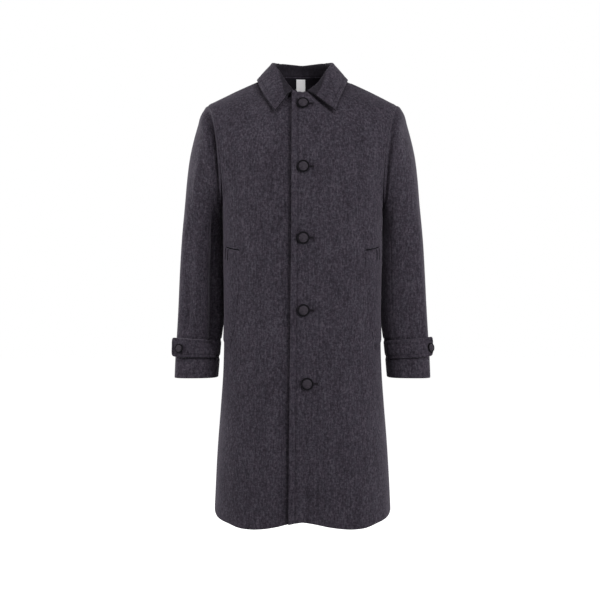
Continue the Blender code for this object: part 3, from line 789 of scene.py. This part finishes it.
def keep(name, points, faces, layer, flat, finish):
    """A smooth mesh with its flat layout, as a piece of the coat."""
    mesh = bpy.data.meshes.new(name)
    mesh.from_pydata((points * MM).tolist(), [], faces)
    mesh.update()
    corner = np.empty(len(mesh.loops), int)
    mesh.loops.foreach_get("vertex_index", corner)
    mesh.uv_layers.new(name=layer).data.foreach_set("uv", flat[corner].ravel())
    mesh.shade_smooth()
    mesh.materials.append(finish)
    return linked(name, mesh)


def grid_faces(at):
    """Four-sided faces over a grid of point numbers."""
    return np.stack([at[:-1, :-1], at[:-1, 1:], at[1:, 1:], at[1:, :-1]], axis=-1).reshape(-1, 4)


def shell(name, outer, inner, rolls, flat, finish):
    """A closed wall between two grids, each edge rolled over by its own radius."""
    rows, cols = outer.shape[:2]
    count = rows * cols
    middle = (outer + inner) / 2
    away = np.zeros_like(middle)
    away[0] += rolls[0] * unit(middle[0] - middle[1])
    away[-1] += rolls[1] * unit(middle[-1] - middle[-2])
    away[:, 0] += rolls[2] * unit(middle[:, 0] - middle[:, 1])
    away[:, -1] += rolls[3] * unit(middle[:, -1] - middle[:, -2])
    high, low, away = (grid.reshape(-1, 3) for grid in (outer - away, inner - away, away))
    flat = flat.reshape(-1, 2) * MM
    at = np.arange(count).reshape(rows, cols)
    rim = np.concatenate([at[0], at[1:, -1], at[-1, -2::-1], at[-2:0:-1, 0]])
    points = [high, low]
    laid = [flat, flat]
    loops = [rim]
    for step in range(1, ROLL_STEPS):
        turn = math.pi * step / ROLL_STEPS
        half = (high[rim] - low[rim]) / 2
        points.append((high[rim] + low[rim]) / 2 + half * math.cos(turn) + away[rim] * math.sin(turn))
        laid.append(flat[rim])
        loops.append(2 * count + (step - 1) * len(rim) + np.arange(len(rim)))
    loops.append(rim + count)
    face = grid_faces(at)
    faces = [face, face[:, ::-1] + count]
    for this, other in zip(loops, loops[1:]):
        faces.append(np.stack([np.roll(this, -1), this, other, np.roll(other, -1)], axis=-1))
    return keep(name, np.vstack(points), np.vstack(faces).tolist(), "cloth", np.vstack(laid), finish)


def fixed(piece, node=None):
    """A piece that rides with the coat, in the place of a solid if it has one."""
    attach(piece, "root")
    if node:
        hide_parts(node)


def worn(node, slot, outer, inner, rolls, inward=False, ending="_cloth"):
    """A cloth wall in the place of a solid, with the size of its cut."""
    grid = inner if inward else outer
    flat = flat_of(grid)
    piece = shell(node + ending, outer, inner, rolls, flat, FINISH[slot])
    fixed(piece, node)
    return piece


def surface_tree(*grids):
    """A search tree over the faces of some grids."""
    points = []
    faces = []
    for grid in grids:
        at = len(points) + np.arange(grid[..., 0].size).reshape(grid.shape[:2])
        points.extend(Vector(p) for p in grid.reshape(-1, 3))
        faces.extend(grid_faces(at).tolist())
    return BVHTree.FromPolygons(points, faces)


def seated(points, out, tree):
    """Points dropped along their ways out onto a surface."""
    placed = points.copy()
    for at in np.ndindex(points.shape[:2]):
        place, _, _, _ = tree.ray_cast(Vector(points[at] + out[at] * 15.0), Vector(-out[at]))
        if place is not None:
            placed[at] = place
    return placed


def struck(tree, x, y, z):
    """Where a ray to the back meets a surface, and the surface's way to the front."""
    place, facing, _, _ = tree.ray_cast(Vector((x, y, z)), Vector((0.0, 1.0, 0.0)))
    return np.array(place), np.array(-facing if facing.y > 0.0 else facing)


def turned_button(name, place, facing, radius):
    """A turned button seated on a place with its axis along facing."""
    outline = np.array(BUTTON_OUTLINE) * radius
    fine = on_line(outline, np.linspace(0.0, run_of(outline)[-1], 44)[1:-1])
    steps = 56
    turn = 2 * math.pi * np.arange(steps) / steps
    local = [(0.0, 0.0, 0.0)]
    for far, high in fine:
        local += [(far * x, far * y, high) for x, y in zip(np.cos(turn), np.sin(turn))]
    local = np.array(local + [(0.0, 0.0, outline[-1][1])])
    last = len(local) - 1
    rings = np.arange(1, last).reshape(-1, steps)
    rings = np.column_stack([rings, rings[:, :1]])
    faces = grid_faces(rings).tolist()
    low, high = rings[0].tolist(), rings[-1].tolist()
    faces += [(0, after, this) for this, after in zip(low, low[1:])]
    faces += [(this, after, last) for this, after in zip(high, high[1:])]
    axis = unit(np.array(facing))
    side = unit(np.cross(axis, UP))
    points = np.array(place) + axis * LAY_GAP
    points = points + local[:, :1] * side + local[:, 1:2] * np.cross(axis, side) + local[:, 2:] * axis
    made = keep(name + "_turned", points, faces, "face", local[:, :2] / radius, FINISH["button"])
    fixed(made, name)


def sewing_tree(name):
    """Stitches along lines, one at each pitch, lying as their lie attribute says."""
    tree = bpy.data.node_groups.new(name, "GeometryNodeTree")
    for socket, kind in (("Geometry", "Geometry"), ("Pitch", "Float"), ("Stitch length", "Float"),
                         ("Thread", "Float"), ("Finish", "Material")):
        tree.interface.new_socket(socket, in_out="INPUT", socket_type="NodeSocket" + kind)
    tree.interface.new_socket("Geometry", in_out="OUTPUT", socket_type="NodeSocketGeometry")
    start = Shade(tree)
    given = {socket.name: Shade(tree, socket) for socket in tree.nodes.new("NodeGroupInput").outputs}

    def add(kind, settings=None, **values):
        return start.node(kind, 0, settings, values)

    line = add("GeometryNodeMeshToCurve", Mesh=given["Geometry"])
    points = add("GeometryNodeCurveToPoints", {"mode": "LENGTH"}, Curve=line, Length=given["Pitch"])
    lie = add("GeometryNodeInputNamedAttribute", {"data_type": "FLOAT_VECTOR"}, Name="lie")
    turn = add("FunctionNodeAlignRotationToVector", {"axis": "X"}, Vector=lie)
    bead = add("GeometryNodeMeshUVSphere", Segments=6, Rings=5, Radius=0.5)
    size = add("ShaderNodeCombineXYZ", X=given["Stitch length"], Y=given["Thread"], Z=given["Thread"])
    place = add("GeometryNodeInstanceOnPoints", Points=points, Instance=bead, Rotation=turn, Scale=size)
    real = add("GeometryNodeRealizeInstances", Geometry=place)
    done = add("GeometryNodeSetMaterial", Geometry=real, Material=given["Finish"])
    start.feed(tree.nodes.new("NodeGroupOutput").inputs, {"Geometry": done})
    return tree


def sewn(name, lines, tree, finish, pitch, length, thread):
    """Stitches on lines of points and the ways to lie there, made one plain mesh."""
    points = []
    lies = []
    edges = []
    for line, lie in lines:
        first = len(points)
        points += (np.asarray(line) * MM).tolist()
        lies += np.asarray(lie).tolist()
        edges += [(first + i, first + i + 1) for i in range(len(line) - 1)]
    mesh = bpy.data.meshes.new(name + "_lines")
    mesh.from_pydata(points, edges, [])
    mesh.attributes.new("lie", "FLOAT_VECTOR", "POINT").data.foreach_set("vector", np.ravel(lies))
    rough = linked(name + "_lines", mesh)
    sewing = rough.modifiers.new("Sewing", "NODES")
    sewing.node_group = tree
    values = {"Pitch": pitch * MM, "Stitch length": length * MM, "Thread": thread * MM, "Finish": finish}
    for socket in tree.interface.items_tree:
        if socket.in_out == "INPUT" and socket.name in values:
            sewing[socket.identifier] = values[socket.name]
    bpy.context.view_layer.update()
    stitches = bpy.data.meshes.new_from_object(rough.evaluated_get(bpy.context.evaluated_depsgraph_get()))
    bpy.data.objects.remove(rough)
    stitches.shade_smooth()
    fixed(linked(name, stitches))


def shade_strips(name, lines, finish):
    """Near-black strips laid on the cloth as painted shade of narrow gaps: points, the ways out and across,
    half the width, and the cloth below.
    """
    points = []
    faces = []
    for spots, out, over, half, tree in lines:
        taper = half * np.sin(np.linspace(0.25, 0.96, len(spots)) * math.pi) ** 0.4
        at = len(points) + np.arange(3 * len(spots)).reshape(3, -1)
        faces += grid_faces(at).tolist()
        for lip, lift in ((-1.0, 0.3), (0.0, 0.45), (1.0, 0.3)):
            laid = seated((spots + over * (lip * taper)[:, None])[None], out[None], tree)[0]
            points += list(laid + out * lift)
    fixed(keep(name, np.array(points), faces, "cloth", np.zeros((len(points), 2)), finish))


def running(points):
    """A line of stitches that lie along it."""
    return points, unit(np.gradient(points, axis=0))


# Finishes
FINISH = {
    "wool": melange_wool("melange_wool"),
    "lining": dark_facing("dark_facing"),
    "label": white_tape("white_tape"),
    "button": horn("dark_horn"),
}
THREAD_DARK = sewing_thread("charcoal_thread", (0.020, 0.017, 0.022, 1.0))
# Near-black finish: painted shade on the strips at the buttonhole slits and pocket mouths, and the thread of
# the welt tacks
GAP_SHADE_AND_TACK_BLACK = sewing_thread("gap_shade_and_tack_black", (0.003, 0.003, 0.004, 1.0))

# Body grids
lower = -1 + shares_of(SKIRT_DROP, NEAR_HEM, (0.0,), LINES["skirt"])
upper = shares_of(YOKE_RISE, (0.0,), NEAR_SEAM, LINES["yoke"])[1:]
rises = np.concatenate([lower, upper])
waist = np.flatnonzero(np.abs(rises) < 0.09)
edges = [-edge_way(rise) for rise in rises]
front_ways = [row_ways("front", rise, np.linspace(at, 1.0, 320), NEAR_FRONT) for rise, at in zip(rises, edges)]
front_ways = np.array(front_ways)
back_ways = [row_ways("back", rise, np.linspace(1.0, -1.0, 401), NEAR_SEAM) for rise in rises]
front, back = (
    calmed(np.array([body_row(face, rise, way) for rise, way in zip(rises, ways)]), waist, 24)
    for face, ways in (("front", front_ways), ("back", back_ways))
)

# Sleeve grids
parts = shares_of(SLEEVE_LENGTH, NEAR_SEAM, NEAR_HEM, LINES["sleeve"])
near_turn = SLEEVE_TURN * np.array(NEAR_SEAM)
top_turns = spread(2 * SEAM_TURN, near_turn, near_turn, LINES["top"]) - SEAM_TURN
under_turns = SEAM_TURN + spread(360.0 - 2 * SEAM_TURN, near_turn, near_turn, LINES["under"])

# Panels: grid, dents, seams, rolls of first row, last row, first column, last column
SEWN = 0.4
FREE = 1.5
PANELS = {
    "front_left": (front, 0.0, ("last_row", "last_col"), (FREE, SEWN, FREE, SEWN)),
    "front_right": (mirrored(front), 0.0, ("last_row", "first_col"), (FREE, SEWN, SEWN, FREE)),
    "back": (back, 0.0, ("last_row", "first_col", "last_col"), (FREE, SEWN, SEWN, SEWN)),
}
for side in HAND:
    for piece, turns in (("top", top_turns), ("under", under_turns)):
        down, around = np.meshgrid(parts, turns, indexing="ij")
        grid = sleeve_point(down, around, side)
        dents = sleeve_dent(side, down, around, flat_of(grid))
        if side == "right":
            grid, dents = mirrored(grid), dents[:, ::-1]
        seams = ("first_row", "first_col", "last_col")
        PANELS["sleeve_%s_%s" % (side, piece)] = (grid, dents, seams, (SEWN, FREE, SEWN, SEWN))

# How far the overlapping front edge lifts, the cloth beside it sinks, and the fronts stand up at the neck
EDGE_LIFT, EDGE_LIFT_WIDTH = 1.0, 22.0
EDGE_VALLEY, EDGE_VALLEY_WIDTH = 4.6, 24.0
TOP_LIP, TOP_LIP_HALF = 4.8, 20.0
outer_grids = {}
plain_grids = []
for number, (name, (grid, dents, seams, rolls)) in enumerate(PANELS.items()):
    kind, side = (name.split("_") + [""])[:2]
    flat = flat_of(grid)
    normal = grid_normals(grid)
    deep = SEAM_DEEP["sleeve" if kind == "sleeve" else "body"]
    off = seam_dent(flat, seams, deep) + creased(name, flat) + uneven(flat, 40 + number, 0.35)
    if kind == "sleeve":
        off = off + seam_dent(flat, ("first_row",), SEAM_DEEP["armhole"]) - dents
    if kind == "front":
        ways = front_ways if side == "left" else front_ways[:, ::-1]
        off = off - welt_dent(rises, ways)
    if name == "front_left":
        far = far_from(flat, "first_col")
        off = off + stitch_dent(far, FRONT_STITCH) + EDGE_LIFT * (1 - ease(far / EDGE_LIFT_WIDTH))
    if name == "front_right":
        dip = (np.maximum(ways, 0.0) - DIP_FULL) / (DIP_END - DIP_FULL)
        beyond = -grid[..., 0] - edge_x(rises)[:, None]
        off = off - OVERLAP_STEP * (1 - ease(dip)) - EDGE_VALLEY * (1 - ease(beyond / EDGE_VALLEY_WIDTH))
    if kind != "sleeve":
        plain_grids.append(grid + normal * off[..., None])
    if kind == "front":
        off = off - leaf_groove(side, grid)
    if name == "front_left":
        off = off - button_dent(grid)
    outer = grid + normal * off[..., None]
    if kind == "front":
        near_middle = ease((44.0 - np.abs(grid[..., 0])) / 22.0)
        outer[..., 2] += TOP_LIP * near_middle * bell(far_from(flat, "last_row"), TOP_LIP_HALF)
    outer_grids[name] = outer
    worn(name, "wool", outer, outer - normal * WALL, rolls)

# Collar: hidden side of the folded piece, from the neck seam over the fold, in steps away from the neck and up,
# to its edge
FOLD_STEPS = ((0, -1), (0.5, 0.6), (1.6, 0.6), (2.4, -0.8))
body_tree = surface_tree(*plain_grids)
near_collar_turn = COLLAR_TURN * np.array(NEAR_COLLAR)
half_turns = COLLAR_END_TURN - spread(COLLAR_END_TURN, near_collar_turn, (0.0,), LINES["collar"])
collar_cols = []
for side, turns in (("left", half_turns), ("right", half_turns[-2::-1])):
    for turn in turns:
        seam, fold, edge, out, roll = collar_lines(side, turn)
        column = [seam, seam + (fold - seam) * 0.5 + out]
        column += [fold + out * away + UP * above for away, above in FOLD_STEPS]
        start = column[-1]
        end = END_CLEAR * ease((turn / COLLAR_END_TURN - 0.8) / 0.2)
        for share in (0.2, 0.4, 0.6, 0.8, 1.0):
            swell = (out * 0.8 + UP * 0.6) * roll * math.sin(math.pi * share)
            point = start + (edge - start) * share + swell
            place, normal, _, _ = body_tree.find_nearest(Vector(point))
            lift = (point - np.array(place)) @ np.array(normal)
            clear = FALL_CLEAR + 2.0 * share ** 2 * on_leaf(turn) + end
            column.append(point + np.array(normal) * max(clear - lift, 0.0))
        collar_cols.append(respaced(np.array(column), (0.0, 1.5, 3.0), NEAR_COLLAR, LINES["fall"]))
collar = np.array(collar_cols).transpose(1, 0, 2)
for _ in range(6):
    collar[1:, 1:-1] += 0.25 * (collar[1:, 2:] + collar[1:, :-2] - 2 * collar[1:, 1:-1])
flat = flat_of(collar)
normal = grid_normals(collar)
up = flat[..., 1]
leaf = on_leaf(np.concatenate([half_turns, half_turns[-2::-1]]))
show = stitch_dent(far_from(flat, "last_row", "first_col", "last_col"), COLLAR_STITCH)
show = show * ease((up - 45.0) / 15.0) * (0.2 + 0.35 * leaf) + uneven(flat, 71, 0.2)
visible = collar - normal * (WALL + show)[..., None]
piece = worn("collar", "wool", collar, visible, (SEWN, FREE, 2.0, 2.0))
# Painted shade on the collar: full on its hidden side and rolled edges, drawing dark outlines round the leaves,
# and 0.7 on the inner face of the stand, fading out 30 to 35 mm from the neck seam
painted_shade = np.ones(len(piece.data.vertices))
painted_shade[up.size:2 * up.size] = 0.7 * (1 - ease((up - 30.0) / 5.0)).ravel()
piece.data.attributes.new("painted_shade", "FLOAT", "POINT").data.foreach_set("value", painted_shade)

# Topstitching inside the edges of the collar and the front
THREAD_LIFT = 0.1
thread_line = visible - normal * THREAD_LIFT
at = NEAR_COLLAR.index(COLLAR_STITCH)
row = len(collar) - 1 - at
path = [thread_line[row - 30:row, at], thread_line[row, at:-at], thread_line[row - 1:row - 31:-1, -1 - at]]
lines = [running(np.concatenate(path))]
edge_line = outer_grids["front_left"] + grid_normals(outer_grids["front_left"]) * THREAD_LIFT
lines.append(running(edge_line[6:-6, NEAR_FRONT.index(FRONT_STITCH)]))

# Pocket welts, from points of the fronts
welt_steps = [(i / (len(WELT) - 1), *row) for i, row in enumerate(WELT)]
spans = along(welt_steps, 1.0 - shares_of(WELT_LENGTH, NEAR_WELT, NEAR_WELT, LINES["welt"]))
shares = shares_of(WELT_WIDTH, NEAR_WELT, NEAR_WELT, LINES["mouth"])
crown = (1.1 + 1.4 * ease(shares / 0.25) + 0.4 * np.sin(math.pi * shares))[None, :, None]
# Half width of the near-black strips of painted shade at the pocket mouths
MOUTH_HALF = 1.3
mouth_shades = []
tacks = []
for side in HAND:
    rows = []
    for rise, way_front, way_side in spans:
        ways = way_front + (way_side - way_front) * shares
        levels = rise + WELT_TILT / SKIRT_DROP * shares
        rows.append([body_row("front", level, np.array([way]))[0] for level, way in zip(levels, ways)])
    welt = np.array(rows)
    from_front = range(len(shares))
    if side == "right":
        welt = mirrored(welt)
        crown = crown[:, ::-1]
        from_front = from_front[::-1]
    tree = surface_tree(outer_grids["front_" + side])
    welt = seated(welt, grid_normals(welt), tree)
    out = grid_normals(welt)
    high = welt + out * crown
    worn("pocket_welt_" + side, "wool", high, welt - out * 0.8, (1.2,) * 4)
    # Near-black strips just past the welt's top end and part of its bottom end: painted shade of the gap there
    for edge, beside, cols in ((-1, -2, from_front[1:]), (0, 1, from_front[-9:])):
        over = unit(welt[edge] - welt[beside])[cols]
        mouth_shades.append((welt[edge][cols] + over * MOUTH_HALF, out[edge][cols], over, MOUTH_HALF, tree))
    for share in (0.66, 0.86):
        col = from_front[int(share * (len(shares) - 1))]
        tacks.append(running(high[-9:-1, col] + out[-9:-1, col] * 0.4))

# Cuff straps, from points of the sleeves, with a free end past the outer line
STRAP_LIFT = 1
STRAP_ROLL = 1.8
across = shares_of(STRAP_WIDTH, NEAR_STRAP, NEAR_STRAP, LINES["strap_edge"])
levels = STRAP_TOP + (STRAP_BOTTOM - STRAP_TOP) * across
short = np.maximum(STRAP_CORNER - np.array(NEAR_STRAP), 0.0)
rounded = STRAP_CORNER - np.sqrt(STRAP_CORNER ** 2 - short ** 2)
near_end = slice(len(rounded))
buttons = []
for side, hand in HAND.items():
    sleeve = [outer_grids["sleeve_%s_%s" % (side, piece)] for piece in ("top", "under")]
    if side == "right":
        sleeve = [mirrored(grid) for grid in sleeve]
    leaves, end_x, drop, inner_drop, button_at = STRAP_END[side]
    down, turn = np.meshgrid(levels, np.linspace(leaves, STRAP_FROM, 71), indexing="ij")
    down = down + drop + (inner_drop - drop) * (turn - leaves) / (STRAP_FROM - leaves)
    laid = sleeve_point(down, turn, "plain")
    laid = seated(laid, grid_normals(laid), surface_tree(*sleeve))
    ahead = unit(laid[:, :1] - laid[:, 5:6])
    reach = (end_x - laid[:, :1, :1]) / ahead[..., :1]
    free = laid[:, :1] + ahead * reach * np.array((1.0, 0.75, 0.5, 0.25))[None, :, None]
    whole = np.concatenate([free, laid], axis=1)
    strap = np.array([respaced(line, NEAR_STRAP, NEAR_SEAM, LINES["strap"]) for line in whole])
    out = grid_normals(strap)
    middle = strap.mean(axis=0)[near_end]
    narrow = (1 - 2 * rounded / STRAP_WIDTH)[:, None]
    strap[:, near_end] = middle + (strap[:, near_end] - middle) * narrow
    far = far_from(flat_of(strap), "first_row", "last_row", "first_col")
    low = strap + out * STRAP_LIFT
    high = strap + out * (LAY_GAP + STRAP_WALL + STRAP_LIFT + stitch_dent(far, STRAP_STITCH))[..., None]
    at = NEAR_STRAP.index(STRAP_STITCH)
    path = np.concatenate([high[at, -2:at:-1], high[at:-at, at], high[-1 - at, at + 1:-1]])
    lines.append(running(path * hand))
    seat_line = high[len(high) // 2]
    facing = on_line(seat_line, button_at, out[len(high) // 2])
    seat = on_line(seat_line, button_at) - facing * LAY_GAP * 0.4
    buttons.append(("cuff_button_" + side, seat * hand, facing * hand, CUFF_BUTTON_RADIUS))
    rolls = (STRAP_ROLL, STRAP_ROLL, STRAP_ROLL, SEWN)
    if side == "right":
        low, high = mirrored(low), mirrored(high)
        rolls = (STRAP_ROLL, STRAP_ROLL, SEWN, STRAP_ROLL)
    worn("cuff_strap_" + side, "wool", high, low, rolls)

# Buttons, and the buttonholes that show beside the front ones
BEFORE_FRONT = -400
HOLE_HALF = 1.7
BAR_HALF = 2.6
SLIT_HALF = 1.1
front_tree = surface_tree(outer_grids["front_left"])
holes = []
slit_shades = []
for name, x, z in FRONT_BUTTONS:
    buttons.append((name, *struck(front_tree, x, BEFORE_FRONT, z), BUTTON_RADIUS))
    reaches = np.linspace(2.0, BUTTONHOLE_END, 26)
    found = [struck(front_tree, x + reach, BEFORE_FRONT, z) for reach in reaches]
    spots, out = np.array(found).swapaxes(0, 1)
    ahead = unit(np.gradient(spots, axis=0))
    over = unit(np.cross(out, ahead))
    for lip in (-1.0, 1.0):
        holes.append((spots + over * HOLE_HALF * lip + out * 0.25, over * lip + 0.15 * ahead))
    bar = spots[-1] + over[-1] * np.linspace(-BAR_HALF, BAR_HALF, 8)[:, None] + out[-1] * 0.3
    holes.append((bar, np.tile(ahead[-1], (len(bar), 1))))
    # A near-black strip along each buttonhole: painted shade of its slit
    slit_shades.append((spots, out, over, SLIT_HALF, front_tree))
for button in buttons:
    turned_button(*button)
# Lay the near-black strips of painted shade at the buttonhole slits and pocket mouths
shade_strips("buttonhole_slit_shade", slit_shades, GAP_SHADE_AND_TACK_BLACK)
shade_strips("pocket_mouth_shade", mouth_shades, GAP_SHADE_AND_TACK_BLACK)

# Neck facing and label, from points of the inside of the back
facing_rises = FACING_RISE + (1 - FACING_RISE) * np.linspace(0.0, 1.0, 30)
facing_ways = np.linspace(FACING_WAY, -FACING_WAY, 60)
inner = np.array([body_row("back", rise, facing_ways) for rise in facing_rises])
inner = inner - grid_normals(inner) * WALL
out = grid_normals(inner)
high = inner - out * FACING_GAP
high[-1] += FACING_BELOW_SEAM * unit(high[-2] - high[-1])
low = high - out * FACING_WALL
worn("back_neck_facing", "lining", high, low, (0.5,) * 4, True)
facing_tree = surface_tree(low)
ups = LABEL_Z[1] + spread(LABEL_Z[0] - LABEL_Z[1], NEAR_LABEL, NEAR_LABEL, LINES["label_edge"])
places = LABEL_X[1] - spread(LABEL_X[1] - LABEL_X[0], NEAR_LABEL, NEAR_LABEL, LINES["label"])
label = np.array([[struck(facing_tree, x, -20.0, z)[0] for x in places] for z in ups])
out = grid_normals(label)
low = label - out * (LAY_GAP + LABEL_WALL)
worn("neck_label", "label", label - out * 0.3, low, (0.5,) * 4, True, "_tape")

# Sewing: pitch, length and thickness of the stitches
stitching = sewing_tree("stitching")
sewn("topstitching", lines, stitching, THREAD_DARK, STITCH_PITCH, STITCH_LENGTH, THREAD)
# Welt tacks are stitches, sewn in the near-black of the painted gap shade so that they also darken the welt's
# top end as painted shade
sewn("welt_tacks", tacks, stitching, GAP_SHADE_AND_TACK_BLACK, 1.1, 2.2, 1.7)
sewn("buttonhole_stitching", holes, stitching, THREAD_DARK, 0.75, 3.6, 0.7)

# Studio: pale floor, a white surround that gives little light, lights and camera
AMBIENT = 0.17
FLOOR_SIZE = 30
FLOOR_LEVEL = -1.45
bpy.ops.mesh.primitive_grid_add(x_subdivisions=8, y_subdivisions=8, size=FLOOR_SIZE, location=(0.0, 0.0, 0.0))
floor = bpy.context.object
floor.name = "studio_floor"
floor.data.transform(Matrix.Translation((0.0, 0.0, FLOOR_LEVEL)))
floor.data.materials.append(studio_paper("studio_paper"))
floor.visible_diffuse = False

world = bpy.data.worlds.new("white_surround")
bpy.context.scene.world = world
world.use_nodes = True
start = Shade(world.node_tree)
seen = start.node("ShaderNodeLightPath", "Is Camera Ray")
surround = {"Color": (1.0, 1.0, 1.0, 1.0), "Strength": AMBIENT + seen * (1.0 - AMBIENT)}
start.feed(world.node_tree.nodes["Background"].inputs, surround)

# Soft lights: name, place, size, power
COAT_MIDDLE = (0, 0, -0.4)
LIGHTS = (
    ("key_light", (0.2, -1.7, 1.75), 0.7, 20.0),
    ("right_front_light", (1.7, -2.2, 0.3), 1.0, 40.0),
    ("right_low_light", (1.9, -0.9, -0.8), 1.0, 10.0),
    ("left_side_light", (-2.2, -0.6, 0.0), 1.0, 34.0),
    ("left_back_light", (-1.8, 1.5, 0.3), 1.0, 24.0),
    ("right_back_light", (1.8, 1.5, 0.3), 1.0, 18.0),
)


def lamp(name, kind, place, toward, power):
    """A light of this kind at a place, aimed at another."""
    light = bpy.data.lights.new(name, kind)
    light.energy = power
    made = linked(name, light)
    made.location = place
    made.rotation_euler = (Vector(toward) - Vector(place)).to_track_quat("-Z", "Y").to_euler()
    return light


for name, place, size, power in LIGHTS:
    lamp(name, "AREA", place, COAT_MIDDLE, power).size = size
# A narrow lamp that reaches the inside of the neck
neck_lamp = lamp("neck_lamp", "SPOT", (-0.004, -2.2, 0.3), (-0.004, 0.07, 0.004), 85.0)
neck_lamp.spot_size = math.radians(1.7)
neck_lamp.spot_blend = 0.6
neck_lamp.shadow_soft_size = 0.02

camera = linked("camera", bpy.data.cameras.new("camera"))
camera.location = (-0.0058, -2.6, -0.510)
camera.rotation_euler = (math.radians(90.0), 0.0, 0.0)
camera.data.lens = 66.1
camera.data.sensor_width = 36.0
bpy.context.scene.camera = camera
bpy.context.scene.view_settings.view_transform = "Standard"
